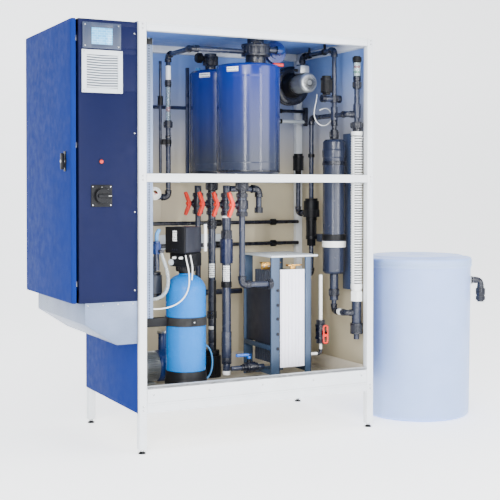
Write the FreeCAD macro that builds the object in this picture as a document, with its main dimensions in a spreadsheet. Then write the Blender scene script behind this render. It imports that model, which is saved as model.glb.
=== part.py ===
import FreeCAD, Part
import Sketcher

import math
import os
import re

# Salt chlorine generator: a membrane electrolysis skid in an open-fronted frame, with a control
# box hung on its left side and a separate brine tank. Millimetres, +Z up, -Y is the open front.
# The frame's front left lower corner is at (frame_left, frame_front, 0); the origin is the
# middle of the footprint of everything, on the floor.

Vector = FreeCAD.Vector
Rotation = FreeCAD.Rotation
Placement = FreeCAD.Placement

CELLS = [
    # frame
    ("frame_left", -874.5), ("frame_front", -391.5), ("frame_width", 1350), ("frame_depth", 815),
    ("frame_height", 2100), ("post_side", 40), ("post_wall", 3), ("foot_height", 20),
    ("base_bottom", 197), ("base_rail", 49), ("middle_bottom", 1325), ("rail_height", 41),
    ("front_panel_top", 325), ("sheet", 2), ("tray_top", 336), ("tray_wall", 4),
    ("strip_hole", 7), ("strip_pitch", 13), ("strip_length", 1374), ("strip_width", 46),
    # control box on the left side
    ("box_reach", 296), ("box_width", 800), ("box_bottom", 748), ("box_height", 1348),
    ("box_front", 15), ("box_rim", 62), ("door_thick", 24), ("door_gap", 13), ("door_round", 9),
    ("handle_length", 78), ("fan_radius", 78), ("fan_depth", 24),
    ("switch_plate", 104), ("switch_knob", 38), ("grille_side", 203), ("louvre_pitch", 12),
    ("screen_width", 105), ("screen_height", 79), ("bezel_width", 191), ("bezel_height", 123),
    ("pin_radius", 4), ("running_gap", 0.05),
    # vessels and process parts
    ("tank_diameter", 338), ("tank_wall", 6), ("tank_top", 1942), ("tank_line", 699),
    ("tank_front_line", 215), ("tank_rear_line", 562), ("column_radius", 63), ("fin_radius", 32),
    ("fin_pitch", 14), ("softener_radius", 103), ("softener_line", 327), ("softener_depth", 190),
    ("valve_line", 625), ("valve_front", 140), ("valve_pitch", 187), ("valve_height", 1208),
    ("column_line", 1226), ("column_depth", 205), ("riser_line", 1290), ("riser_depth", 75),
    ("feed_line", 372), ("feed_depth", 530),
    ("pipe_small", 8), ("pipe_mid", 13.5), ("pipe_large", 16), ("pipe_wide", 21), ("pipe_main", 24),
    ("cell_left", 803), ("cell_front", 150), ("cell_bottom", 262),
    ("cell_top", 925), ("plate_pitch", 26), ("plate_thick", 18),
    # brine tank
    ("brine_line", 1793), ("brine_depth", 223), ("brine_radius", 300), ("brine_rim_radius", 310),
    ("brine_rim_top", 883), ("brine_wall", 5), ("lid_radius", 315), ("brine_pipe", 14),
    # hoses and cables
    ("signal_cable", 7), ("drain_hose", 17), ("sensor_cable", 5.5), ("air_hose", 9),
]
ALONG = {
    "+X": Vector(1, 0, 0), "-X": Vector(-1, 0, 0), "+Y": Vector(0, 1, 0),
    "-Y": Vector(0, -1, 0), "+Z": Vector(0, 0, 1), "-Z": Vector(0, 0, -1),
}
SPIGOTS = [(300, 420), (520, 420), (1120, 1880)]
HANDLE_Y = 104
HANDLE_Z = 1423
HINGE_X = -305
HINGE_Y = 826.5
BLOWER_X = 1138
BLOWER_Z = 1883
GAUGE_X = 272
DOSING_X = 1146

doc = FreeCAD.newDocument("salt_chlorine_generator")
sheet = doc.addObject("Spreadsheet::Sheet", "Sizes")
for line, (alias, number) in enumerate(CELLS, start=1):
    sheet.set("A%d" % line, alias)
    sheet.set("B%d" % line, str(number))
    sheet.setAlias("B%d" % line, alias)
doc.recompute()
size = {alias: float(sheet.get(alias)) for alias, number in CELLS}
nodes = {}


# ---------------------------------------------------------------------------------- helpers

def at(x, y, z):
    """A point given from the frame's front left lower corner."""
    return Vector(size["frame_left"] + x, size["frame_front"] + y, z)


def bind(item, prop, formula):
    """Ties one size to the sheet: each alias in the formula becomes a reference to its cell."""
    words = re.sub(r"[a-z][a-z_]+", lambda word: "Sizes." + word.group(0), str(formula))
    item.setExpression(prop, words)


def node(label, *pieces):
    """Names one sub-part. Several separate solids are held together by a compound."""
    item = pieces[0]
    if len(pieces) > 1:
        item = doc.addObject("Part::Compound", label + "_set")
        item.Links = list(pieces)
    item.Label = label
    nodes[label] = item
    return item


def turn_to(direction):
    """The rotation that takes a local Z axis to a direction, keeping local X level."""
    if abs(direction.z) > 0.999:
        return Rotation() if direction.z > 0 else Rotation(Vector(1, 0, 0), 180)
    across = Vector(0, 0, 1).cross(direction)
    return Rotation(across, direction.cross(across), direction, "ZXY")


def box(name, length, width, height, place):
    item = doc.addObject("Part::Box", name)
    for prop, formula in (("Length", length), ("Width", width), ("Height", height)):
        bind(item, prop, formula)
    item.Placement.Base = place
    return item


def turned_box(name, lengths, middle, turn, corner):
    """A box whose corner is given in a frame turned about a point."""
    item = box(name, *lengths, Vector(0, 0, 0))
    item.Placement = Placement(middle, turn).multiply(Placement(corner, Rotation()))
    return item


def cylinder(name, radius, height, place, along="+Z"):
    item = doc.addObject("Part::Cylinder", name)
    bind(item, "Radius", radius)
    bind(item, "Height", height)
    direction = ALONG[along] if isinstance(along, str) else along
    item.Placement = Placement(place, turn_to(direction))
    return item


def cut(name, base, *tools):
    """Takes each tool out of the base in turn."""
    for count, tool in enumerate(tools):
        item = doc.addObject("Part::Cut", "%s_cut%d" % (name, count))
        item.Base = base
        item.Tool = tool
        base = item
    return base


def fuse(name, *pieces):
    item = doc.addObject("Part::MultiFuse", name)
    item.Shapes = list(pieces)
    return item


def square_tube(name, lengths, place, open_axis):
    """A rectangular tube whose bore runs along one of its three axes."""
    outer = box(name + "_outer", *lengths, place)
    inner_lengths = []
    shift = Vector(0, 0, 0)
    for axis, length in enumerate(lengths):
        if axis == open_axis:
            inner_lengths.append(length)
        else:
            inner_lengths.append("%s - 2 * post_wall" % length)
            shift[axis] = size["post_wall"]
    inner = box(name + "_bore", *inner_lengths, place + shift)
    return cut(name, outer, inner)


def plane_of(body, role):
    return next(plane for plane in body.Origin.OriginFeatures if plane.Role == role)


def sketch_on(body, name, role):
    sketch = body.newObject("Sketcher::SketchObject", name)
    sketch.AttachmentSupport = (plane_of(body, role), [""])
    sketch.MapMode = "FlatFace"
    return sketch


def hold_point(sketch, line, end, x, y):
    """Holds one end of a sketch line at bound distances from the sketch's origin."""
    for kind, axis, formula in (("DistanceX", -2, x), ("DistanceY", -1, y)):
        if str(formula) == "0":
            sketch.addConstraint(Sketcher.Constraint("PointOnObject", line, end, axis))
        else:
            number = sketch.addConstraint(Sketcher.Constraint(kind, -1, 1, line, end, 1.0))
            bind(sketch, "Constraints[%d]" % number, formula)


def outline(sketch, corners):
    """A closed outline of straight lines whose corners are held by bound distances."""
    first = sketch.GeometryCount
    count = len(corners)
    for step in range(count):
        start = 2 * math.pi * step / count
        finish = 2 * math.pi * (step + 1) / count
        line = Part.LineSegment(Vector(math.cos(start), math.sin(start), 0),
                                Vector(math.cos(finish), math.sin(finish), 0))
        sketch.addGeometry(line, False)
    for step in range(count):
        follower = first + (step + 1) % count
        sketch.addConstraint(Sketcher.Constraint("Coincident", first + step, 2, follower, 1))
    for step, (x, y) in enumerate(corners):
        hold_point(sketch, first + step, 1, x, y)


def circle(sketch, x, y, radius):
    """A circle with its centre and radius bound."""
    number = sketch.addGeometry(Part.Circle(Vector(1, 1, 0), Vector(0, 0, 1), 1), False)
    held = sketch.addConstraint(Sketcher.Constraint("Radius", number, 1.0))
    bind(sketch, "Constraints[%d]" % held, radius)
    hold_point(sketch, number, 3, x, y)


def turned(name, profile, place, along="+Z"):
    """A body turned about its own Z axis from a profile of (radius, height) corners."""
    body = doc.addObject("PartDesign::Body", name)
    sketch = sketch_on(body, name + "_profile", "XZ_Plane")
    outline(sketch, profile)
    lathe = body.newObject("PartDesign::Revolution", name + "_turning")
    lathe.Profile = sketch
    lathe.ReferenceAxis = (sketch, ["V_Axis"])
    lathe.Angle = 360
    body.Tip = lathe
    direction = ALONG[along] if isinstance(along, str) else along
    body.Placement = Placement(place, turn_to(direction))
    return body


def stepped(name, steps, place, along="+Z"):
    """A turned body of plain lengths, each (radius, length), one after another."""
    profile = [("0", "0")]
    reached = "0"
    for radius, length in steps:
        profile.append((radius, reached))
        reached = "%s + %s" % (reached, length) if reached != "0" else str(length)
        profile.append((radius, reached))
    profile.append(("0", reached))
    return turned(name, profile, place, along)


def padded(name, corners, thickness, place, rotation=None, holes=()):
    """A body padded along its own Z from an outline, with round holes (x, y, radius)."""
    body = doc.addObject("PartDesign::Body", name)
    sketch = sketch_on(body, name + "_outline", "XY_Plane")
    outline(sketch, corners)
    for x, y, radius in holes:
        circle(sketch, x, y, radius)
    pad = body.newObject("PartDesign::Pad", name + "_pad")
    pad.Profile = sketch
    bind(pad, "Length", thickness)
    body.Tip = pad
    body.Placement = Placement(place, rotation or Rotation())
    return body


def rectangle(left, low, right, high):
    return [(left, low), (right, low), (right, high), (left, high)]


def ring(name, outer, inner, length, place, along="+Z"):
    """A plain tube or ring."""
    profile = rectangle(inner, "0", outer, length)
    return turned(name, profile, place, along)


# Two rotations that stand a padded outline up. FACING_FRONT keeps the outline's X and Y as the
# machine's X and Z, with the thickness running towards the front. FACING_LEFT takes the
# outline's X to the machine's -Y, with the thickness running to the left.
FACING_FRONT = Rotation(Vector(1, 0, 0), Vector(0, 0, 1), Vector(0, -1, 0), "ZXY")
FACING_LEFT = Rotation(Vector(0, -1, 0), Vector(0, 0, 1), Vector(-1, 0, 0), "ZXY")


def elbow(name, corner, arriving, leaving, radius):
    """A moulded pipe bend: a quarter ring between two short sockets."""
    pipe = size[radius]
    bend = 1.5 * pipe
    socket = 1.3 * pipe
    centre = corner - arriving * bend + leaving * bend
    quarter = doc.addObject("Part::Torus", name + "_bend")
    quarter.Radius1 = bend
    bind(quarter, "Radius2", "1.22 * " + radius)
    quarter.Angle3 = 90
    turning = Rotation(-leaving, arriving, arriving.cross(leaving), "ZXY")
    quarter.Placement = Placement(centre, turning)
    entry = cylinder(name + "_entry", "1.36 * " + radius, "1.3 * " + radius,
                     corner - arriving * (bend + socket), arriving)
    outlet = cylinder(name + "_outlet", "1.36 * " + radius, "1.3 * " + radius,
                      corner + leaving * bend, leaving)
    return fuse(name, quarter, entry, outlet), bend + socket


def pipe_run(name, radius, *points):
    """Straight pipes along a square route, with an elbow at every corner."""
    pieces = []
    start = points[0]
    for count in range(1, len(points)):
        heading = (points[count] - points[count - 1]).normalize()
        stop = points[count]
        if count < len(points) - 1:
            leaving = (points[count + 1] - points[count]).normalize()
            bend, reach = elbow("%s_elbow%d" % (name, count), points[count], heading, leaving,
                                radius)
            pieces.append(bend)
            stop = points[count] - heading * reach
            following = points[count] + leaving * reach
        if (stop - start).dot(heading) > 0.5:
            pieces.append(cylinder("%s_run%d" % (name, count), radius, (stop - start).Length,
                                   start, heading))
        if count < len(points) - 1:
            start = following
    return pieces


def free_tube(name, alias, points):
    """A hose or cable: straight runs joined by tangent arcs as large as the runs allow."""
    radius = size[alias] / 2
    edges = []
    radii = []
    start = points[0]
    for before, corner, after in zip(points, points[1:], points[2:]):
        arriving = (corner - before).normalize()
        leaving = (after - corner).normalize()
        half_turn = arriving.getAngle(leaving) / 2
        reach = 0.45 * min((corner - before).Length, (after - corner).Length)
        arc_radius = reach / math.tan(half_turn)
        radii.append(arc_radius)
        first = corner - arriving * reach
        last = corner + leaving * reach
        towards = (leaving - arriving).normalize()
        middle = corner + towards * (arc_radius / math.cos(half_turn) - arc_radius)
        edges.append(Part.LineSegment(start, first).toShape())
        edges.append(Part.Arc(first, middle, last).toShape())
        start = last
    edges.append(Part.LineSegment(start, points[-1]).toShape())
    path = Part.Wire(edges)
    heading = (points[1] - points[0]).normalize()
    section = Part.Wire([Part.Circle(points[0], heading, radius).toShape()])
    tube = path.makePipeShell([section], True, True)
    expected = math.pi * radius ** 2 * path.Length
    if abs(tube.Volume - expected) > 0.01 * expected:
        raise RuntimeError("%s has the wrong volume: %f, not %f" % (name, tube.Volume, expected))
    print("%s length %.0f smallest radius %.0f (%.1f diameters)"
          % (name, path.Length, min(radii), min(radii) / (2 * radius)))
    item = doc.addObject("Part::Feature", name)
    item.Shape = tube
    return item


# ------------------------------------------------------------------------- frame and casing

def build_frame():
    far_x = size["frame_width"] - size["post_side"]
    far_y = size["frame_depth"] - size["post_side"]
    corners = [(0, 0), (far_x, 0), (0, far_y), (far_x, far_y)]
    posts = []
    feet = []
    half = size["post_side"] / 2
    for count, (x, y) in enumerate(corners):
        lengths = ("post_side", "post_side", "frame_height - foot_height")
        posts.append(square_tube("post%d" % count, lengths, at(x, y, size["foot_height"]), 2))
        profile = [("0", "0"), ("19", "0"), ("19", "7"), ("8", "12"), ("8", "foot_height"),
                   ("0", "foot_height")]
        feet.append(turned("foot%d" % count, profile, at(x + half, y + half, 0)))
    node("frame_posts", *posts)
    node("foot_pads", *feet)
    rails = []
    levels = [("base", "base_bottom", "base_rail"), ("middle", "middle_bottom", "rail_height"),
              ("top", "frame_height - rail_height", "rail_height")]
    heights = {"base": size["base_bottom"], "middle": size["middle_bottom"],
               "top": size["frame_height"] - size["rail_height"]}
    post = size["post_side"]
    for level, bottom, depth in levels:
        z = heights[level]
        across = ("frame_width - 2 * post_side", "post_side", depth)
        along = ("post_side", "frame_depth - 2 * post_side", depth)
        rails.append(square_tube(level + "_front", across, at(post, 0, z), 0))
        rails.append(square_tube(level + "_back", across, at(post, far_y, z), 0))
        rails.append(square_tube(level + "_left", along, at(0, post, z), 1))
        narrow = 15 if level == "middle" else 0
        right = ("post_side - %d" % narrow, along[1], depth)
        rails.append(square_tube(level + "_right", right, at(far_x + narrow, post, z), 1))
    beam = ("post_side", "frame_depth - 2 * post_side", "rail_height")
    for count, x in enumerate((545, 812)):
        rails.append(square_tube("tank_beam%d" % count, beam,
                                 at(x, post, size["middle_bottom"]), 1))
    node("frame_rails", *rails)


def build_casing():
    height = "frame_height - base_bottom"
    low = size["base_bottom"]
    right = size["frame_width"]
    back = size["frame_depth"]
    side = rectangle("0", "0", "frame_depth - 20", height)
    left_skin = padded("left_skin", side, "sheet", at(0, back, low), FACING_LEFT)
    right_skin = padded("right_skin", side, "sheet", at(right + size["sheet"], back, low),
                        FACING_LEFT)
    spigots = [("%d" % x, "%d" % (z - low), "26") for x, z in SPIGOTS]
    back_skin = padded("back_skin", rectangle("0", "0", "frame_width", height), "sheet",
                       at(0, back + size["sheet"], low), FACING_FRONT, spigots)
    roof = box("roof", "frame_width + 2 * sheet", "frame_depth - 20 + sheet", "sheet",
               at(-size["sheet"], 20, size["frame_height"]))
    node("casing_panels", left_skin, right_skin, back_skin, roof)

    post = size["post_side"] + 1
    floor_z = size["base_bottom"] + size["base_rail"] + 1
    wall = size["tray_wall"]
    outer = box("tray_outer", "frame_width - 2 * post_side - 2", "frame_depth - 2 * post_side - 2",
                "tray_top - base_bottom - base_rail - 1", at(post, post, floor_z))
    inner = box("tray_inner", "frame_width - 2 * post_side - 2 - 2 * tray_wall",
                "frame_depth - 2 * post_side - 2 - 2 * tray_wall",
                "tray_top - base_bottom - base_rail",
                at(post + wall, post + wall, floor_z + wall))
    lowered = box("tray_front_notch", "frame_width - 2 * post_side - 2", "tray_wall",
                  "tray_top - front_panel_top + 4",
                  at(post, post, size["front_panel_top"] - 4))
    node("base_tray", cut("tray", outer, inner, lowered))

    lip = [("1", "0.5"), ("4", "0.5"), ("4", "76"), ("39", "76"), ("39", "79"), ("1", "79")]
    section_to_x = Rotation(Vector(0, 1, 0), Vector(0, 0, 1), Vector(1, 0, 0), "ZXY")
    front = padded("front_lip", lip, "frame_width - 2 * post_side - 2",
                   at(size["post_side"] + 1, 0, size["base_bottom"] + size["base_rail"]),
                   section_to_x)
    node("lower_front_panel", front)

    node("perforated_strip", perforated_strip("strip", 42, "27"))


def perforated_strip(name, x, hole_place):
    """A mounting rail of thin steel with one long row of round holes."""
    body = padded(name, rectangle("0", "0", "strip_width", "strip_length"), "2.5",
                  at(x, 44.5, 656), FACING_FRONT)
    drill = sketch_on(body, name + "_first_hole", "XY_Plane")
    circle(drill, hole_place, "8", "strip_hole / 2")
    hole = body.newObject("PartDesign::Pocket", name + "_hole")
    hole.Profile = drill
    hole.Type = "ThroughAll"
    hole.Midplane = True
    row = body.newObject("PartDesign::LinearPattern", name + "_row")
    row.Originals = [hole]
    row.Direction = (drill, ["V_Axis"])
    bind(row, "Length", "strip_length - 16")
    row.Occurrences = int((size["strip_length"] - 16) / size["strip_pitch"]) + 1
    body.Tip = row
    return body


# ------------------------------------------------------------------------------ control box

def build_control_box():
    left = -size["box_reach"] - size["sheet"]
    front = size["box_front"]
    low = size["box_bottom"]
    wall = size["sheet"]
    outer = box("box_outer", "box_reach", "box_width", "box_height", at(left, front, low))
    inner = box("box_inner", "box_reach - 2 * sheet", "box_width - 2 * sheet",
                "box_height - 2 * sheet", at(left + wall, front + wall, low + wall))
    mouth = box("box_mouth", "sheet + 2", "box_width - 2 * box_rim", "box_height - 2 * box_rim",
                at(left - 1, front + size["box_rim"], low + size["box_rim"]))
    panel_hole = box("panel_hole", "172", "10", "104", at(-268.5, front - 4, 1966))
    grille_hole = box("grille_hole", "178", "10", "178", at(-270, front - 4, 1760))
    switch_hole = cylinder("switch_hole", "6 + running_gap", "10", at(-185, front - 4, 1258), "+Y")
    lamp_hole = cylinder("lamp_hole", "8.2", "10", at(-187, front - 4, 1421), "+Y")
    chute_hole = box("chute_hole", "220", "700", "6", at(-240, 60, low - 2))
    node("control_box", cut("box_shell", outer, inner, mouth, panel_hole, grille_hole,
                            switch_hole, lamp_hole, chute_hole))
    build_door(left, front, low)
    build_control_gear()
    build_front_devices(front)
    build_chute(front, low)


def build_door(left, front, low):
    inside = left - size["door_gap"]
    back = front + size["box_width"]
    blank = padded("door_pan", rectangle("0", "0", "box_width", "box_height"), "door_thick",
                   at(inside, back, low), FACING_LEFT)
    doc.recompute()
    slab = blank.Tip
    rims = [name for name, edge in named_edges(blank) if on_door_face(edge)]
    soft = blank.newObject("PartDesign::Fillet", "door_soft_edges")
    soft.Base = (slab, rims)
    bind(soft, "Radius", "door_round")
    blank.Tip = soft
    hollow = sketch_on(blank, "door_hollow_outline", "XY_Plane")
    outline(hollow, rectangle("sheet", "sheet", "box_width - sheet", "box_height - sheet"))
    scoop = blank.newObject("PartDesign::Pocket", "door_hollow")
    scoop.Profile = hollow
    bind(scoop, "Length", "door_thick - sheet")
    scoop.Reversed = True
    blank.Tip = scoop
    keyhole = cylinder("door_keyhole", "pin_radius + running_gap + 1", "10",
                       at(inside - size["door_thick"] - 3, HANDLE_Y, HANDLE_Z), "+X")
    knuckles = []
    pins = []
    for count, z in enumerate((900, 1420, 1920)):
        leaf = box("door_leaf%d" % count, "18", "7", "36", at(HINGE_X - 20, back, z + 22))
        barrel = cylinder("door_barrel%d" % count, "8", "36", at(HINGE_X, HINGE_Y, z + 22))
        bore = cylinder("door_barrel_bore%d" % count, "pin_radius + running_gap", "60",
                        at(HINGE_X, HINGE_Y, z + 10))
        knuckles.append(cut("knuckle%d" % count, fuse("knuckle%d_blank" % count, leaf, barrel),
                            bore))
        plate = box("hinge_leaf%d" % count, "44", "3", "80", at(left + 1, back, z))
        fixed = [plate, cylinder("hinge_pin%d" % count, "pin_radius", "80",
                                 at(HINGE_X, HINGE_Y, z))]
        for end, shift in (("low", 0), ("high", 58.5)):
            fixed.append(cylinder("hinge_%s%d" % (end, count), "8", "21.5",
                                  at(HINGE_X, HINGE_Y, z + shift)))
            fixed.append(box("hinge_%s_arm%d" % (end, count), "16", "7", "21.5",
                             at(HINGE_X + 1, back, z + shift)))
        pins.append(fuse("hinge%d" % count, *fixed))
    node("door_hinges", *pins)

    seal_outer = box("seal_outer", "door_gap - 0.6", "box_width - 70", "box_height - 70",
                     at(inside + 0.3, front + 35, low + 35))
    seal_inner = box("seal_inner", "door_gap + 2", "box_width - 94", "box_height - 94",
                     at(inside - 1, front + 47, low + 47))
    node("door_gasket", cut("seal", seal_outer, seal_inner))

    outside = inside - size["door_thick"]
    base_plate = padded("handle_plate", rectangle("-16", "-48", "16", "48"), "5",
                        at(outside - 0.3, HANDLE_Y, HANDLE_Z), FACING_LEFT,
                        [("0", "0", "pin_radius + running_gap + 1")])
    lever = padded("handle_lever", [("-11", "-handle_length / 2"), ("11", "-handle_length / 2"),
                                    ("13", "0"), ("10", "handle_length / 2"),
                                    ("-10", "handle_length / 2"), ("-13", "0")], "17",
                   at(outside - 7, HANDLE_Y, HANDLE_Z), FACING_LEFT)
    spindle = cylinder("handle_spindle", "pin_radius + 1", "17",
                       at(outside - 7, HANDLE_Y, HANDLE_Z), "+X")
    node("door_handle", fuse("handle", lever, spindle))
    panel = cut("door_with_keyhole", blank, keyhole)
    node("control_door", panel, base_plate, *knuckles)

    bar = box("rod_bar", "3", "16", "1230", at(inside - 14, front + 12, low + 60))
    tongues = [box("rod_tongue%d" % count, "23", "12", "26", at(inside - 12, front + 14, z))
               for count, z in enumerate((827, 1486, 1991))]
    node("lock_rods", fuse("rods", bar, *tongues))


def named_edges(body):
    return [("Edge%d" % (count + 1), edge) for count, edge in enumerate(body.Tip.Shape.Edges)]


def on_door_face(edge):
    """True for the four straight edges round a padded blank's outer face."""
    heights = [vertex.Point.z for vertex in edge.Vertexes]
    return min(heights) > size["door_thick"] - 0.01


def build_control_gear():
    plate = box("gear_plate", "3", "680", "1200", at(-9, 75, 820))
    modules = [
        ("rectifier", 170, 300, 420, 140, 860), ("rectifier_heat_sink", 60, 300, 90, 140, 1290),
        ("power_supply", 110, 120, 130, 480, 900), ("controller", 95, 150, 160, 620, 900),
        ("motor_starters", 90, 280, 90, 470, 1120), ("relay_row", 70, 560, 80, 140, 1440),
        ("terminal_row", 50, 560, 60, 140, 1900), ("upper_trunking", 60, 600, 50, 120, 1570),
        ("lower_trunking", 60, 600, 50, 120, 1820), ("fuse_row", 75, 420, 90, 140, 1680),
    ]
    pieces = [plate]
    for name, reach, width, height, y, z in modules:
        pieces.append(box(name, reach, width, height, at(-9 - reach, y, z)))
    node("control_gear", *pieces)


def build_front_devices(front):
    """The touch panel, the filter fan, the main switch and the lamp on the front wall."""
    bezel = padded("panel_bezel", rectangle("0", "0", "bezel_width", "bezel_height"), "6",
                   at(-278, front, 1957), FACING_FRONT)
    window = sketch_on(bezel, "panel_window", "XY_Plane")
    outline(window, rectangle("44", "20", "44 + screen_width", "20 + screen_height"))
    recess = bezel.newObject("PartDesign::Pocket", "panel_recess")
    recess.Profile = window
    recess.Type = "ThroughAll"
    recess.Reversed = True
    bezel.Tip = recess
    rear = box("panel_rear", "168", "44", "100", at(-266.5, front + 0.1, 1968))
    glass = box("panel_glass", "screen_width - 0.4", "4", "screen_height - 0.4",
                at(-278 + 44.2, front - 4.2, 1957 + 20.2))
    node("touch_panel", bezel, rear, glass)

    centre = at(-181, front, 1849)
    face = padded("grille_face", rectangle("-grille_side / 2", "-grille_side / 2",
                                           "grille_side / 2", "grille_side / 2"), "8", centre,
                  FACING_FRONT)
    slot = sketch_on(face, "grille_slot_outline", "XY_Plane")
    outline(slot, rectangle("-76", "-70", "76", "-64.5"))
    opening = face.newObject("PartDesign::Pocket", "grille_slot")
    opening.Profile = slot
    opening.Type = "ThroughAll"
    opening.Reversed = True
    slots = face.newObject("PartDesign::LinearPattern", "grille_slots")
    slots.Originals = [opening]
    slots.Direction = (slot, ["V_Axis"])
    bind(slots, "Length", "11 * louvre_pitch")
    slots.Occurrences = 12
    face.Tip = slots
    duct = padded("fan_duct", rectangle("-86", "-86", "86", "86"), "48",
                  centre + Vector(0, 52, 0), FACING_FRONT, [("0", "0", "fan_radius + 4")])
    strut = box("fan_strut", "166", "4", "16", centre + Vector(-83, 44, -8))
    axle = cylinder("fan_axle", "pin_radius", "34", centre + Vector(0, 45, 0), "-Y")
    node("filter_fan", face, fuse("fan_frame", duct, strut, axle))

    hub = ring("fan_hub", "26", "pin_radius + running_gap", "fan_depth",
               centre + Vector(0, 40, 0), "-Y")
    blades = []
    for count in range(7):
        blade = box("fan_blade%d" % count, "fan_radius - 24", "2", "fan_depth - 8",
                    Vector(0, 0, 0))
        spin = Rotation(Vector(0, 1, 0), 360 * count / 7)
        pitch = Rotation(Vector(1, 0, 0), 38)
        blade.Placement = Placement(centre + Vector(0, 28, 0), spin).multiply(
            Placement(Vector(24, -7, -8), pitch))
        blades.append(blade)
    node("cooling_fan", fuse("fan_rotor", hub, *blades))

    plate = padded("switch_base", rectangle("-switch_plate / 2", "-switch_plate / 2",
                                            "switch_plate / 2", "switch_plate / 2"), "5",
                   at(-185, front, 1258), FACING_FRONT, [("0", "0", "6 + running_gap")])
    lamp = stepped("lamp", [("8", "22"), ("12", "5"), ("9", "4")], at(-187, front + 22, 1421),
                   "-Y")
    node("panel_devices", plate, lamp)
    knob = stepped("knob_disc", [("6", "20"), ("switch_knob", "12"), ("switch_knob - 6", "4")],
                   at(-185, front + 14.7, 1258), "-Y")
    lever = box("knob_lever", "64", "18", "15", at(-185 - 26, front - 37, 1258 - 7.5))
    node("main_switch_knob", fuse("knob", knob, lever))


def build_chute(front, low):
    """The sheet-metal cable chute under the box and the trunking on the right wall."""
    depth = "box_width"
    outer = padded("chute_outer", [("-269", "0"), ("-3", "0"), ("-3", "-208"), ("-109", "-208"),
                                   ("-269", "-102")], depth, at(0, front + size["box_width"],
                                                                low - 0.3), FACING_FRONT)
    inner = padded("chute_inner", [("-267", "2"), ("-1", "2"), ("-1", "-206"), ("-108.4", "-206"),
                                   ("-267", "-101")], "box_width - 2 * sheet",
                   at(0, front + size["box_width"] - size["sheet"], low - 0.3), FACING_FRONT)
    trunking = [box("wall_trunking%d" % count, "38", "66", length,
                    at(size["frame_width"] - 38.2, 186, z))
                for count, (z, length) in enumerate(((732, "592"), (1367, "230")))]
    tray = box("cable_tray", "470", "16", "84", at(650, 798.8, 986))
    node("cable_chute", cut("chute", outer, inner), *trunking, tray)


# -------------------------------------------------------------------- tanks, blower, columns

def build_tanks():
    height = "tank_top - middle_bottom - rail_height"
    profile = [("0", "0"), ("tank_diameter / 2 - 12", "0"), ("tank_diameter / 2", "12"),
               ("tank_diameter / 2", height + " - 12"), ("tank_diameter / 2 - 12", height),
               ("0", height)]
    floor = size["middle_bottom"] + size["rail_height"]
    shells = []
    for count, y in enumerate((size["tank_front_line"], size["tank_rear_line"])):
        outer = turned("tank_shell%d" % count, profile, at(size["tank_line"], y, floor))
        inside = cylinder("tank_inside%d" % count, "tank_diameter / 2 - tank_wall",
                          height + " - 4 * tank_wall",
                          at(size["tank_line"], y, floor + 2 * size["tank_wall"]))
        shells.append(cut("tank%d" % count, outer, inside))
    node("product_tanks", *shells)

    top = size["tank_top"] + 0.2
    front = size["tank_front_line"]
    rear = size["tank_rear_line"]
    heads = [
        stepped("front_head", [("56", "52"), ("77", "62"), ("45", "32")],
                at(size["tank_line"] + 44, front, top)),
        stepped("rear_head", [("30", "34"), ("43", "50"), ("34", "14")],
                at(size["tank_line"] - 59, rear, top)),
        stepped("rear_head_knob", [("14", "12"), ("28", "24"), ("24", "8")],
                at(size["tank_line"] - 103.5, rear, top + 72), "-X"),
        stepped("rear_filler", [("17", "10"), ("13", "8")],
                at(size["tank_line"] - 130, rear + 10, top)),
        fuse("check_valve", stepped("check_disc", [("30", "12"), ("60", "34"), ("36", "10")],
                                    at(912, 344, 2034), "-Y"),
             box("check_lever", "62", "14", "18", at(926, 300, 1968))),
    ]
    heads += pipe_run("disc_pipe", "pipe_large", at(820.4, front, 2034), at(912, front, 2034),
                      at(912, 287.6, 2034))
    node("tank_heads", *heads)


def build_blower():
    scroll = stepped("blower_scroll", [("112", "78")], at(BLOWER_X + 6, 600, BLOWER_Z), "-Y")
    hollow = cylinder("scroll_hollow", "98", "62", at(BLOWER_X + 6, 592, BLOWER_Z), "-Y")
    shaft_hole = cylinder("scroll_shaft_hole", "13", "40", at(BLOWER_X, 540, BLOWER_Z), "-Y")
    outlet = cylinder("scroll_outlet", "30", "106", at(BLOWER_X + 88, 561, BLOWER_Z + 20), "+Z")
    outlet_bore = cylinder("scroll_outlet_bore", "24", "120", at(BLOWER_X + 88, 561, BLOWER_Z + 10),
                           "+Z")
    housing = cut("blower_case", fuse("blower_case_blank", scroll, outlet), hollow, shaft_hole,
                  outlet_bore)
    node("blower_housing", housing)
    adapter = ring("motor_adapter", "74", "14", "62", at(BLOWER_X, 521.5, BLOWER_Z), "-Y")
    motor = ring("motor_body", "53", "pin_radius + 4 + running_gap", "112",
                 at(BLOWER_X, 459.3, BLOWER_Z), "-Y")
    cover = stepped("motor_cover", [("55", "16"), ("48", "8")], at(BLOWER_X, 347, BLOWER_Z), "-Y")
    feet = box("motor_terminal_box", "58", "74", "46", at(BLOWER_X - 34, 366, BLOWER_Z + 53.5))
    node("blower_motor", adapter, motor, cover, feet)
    shaft = cylinder("blower_shaft", "pin_radius + 4", "205", at(BLOWER_X, 566, BLOWER_Z), "-Y")
    hub = cylinder("impeller_hub", "26", "34", at(BLOWER_X, 580, BLOWER_Z), "-Y")
    disc = cylinder("impeller_disc", "86", "4", at(BLOWER_X, 584, BLOWER_Z), "-Y")
    vanes = []
    for count in range(8):
        vane = box("impeller_vane%d" % count, "60", "28", "3", Vector(0, 0, 0))
        vane.Placement = Placement(at(BLOWER_X, 552, BLOWER_Z),
                                   Rotation(Vector(0, 1, 0), 45 * count)).multiply(
            Placement(Vector(24, 0, -1.5), Rotation()))
        vanes.append(vane)
    node("blower_rotor", fuse("rotor", shaft, hub, disc, *vanes))


def build_columns():
    column = at(size["column_line"], size["column_depth"], 820)
    steps = [("column_radius", "150"), ("column_radius - 3", "34"), ("column_radius", "462"),
             ("column_radius + 3", "36"), ("column_radius", "64")]
    node("separator_column", stepped("column", steps, column))

    fins = body_of_fins()
    node("ribbed_column", fins)


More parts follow.
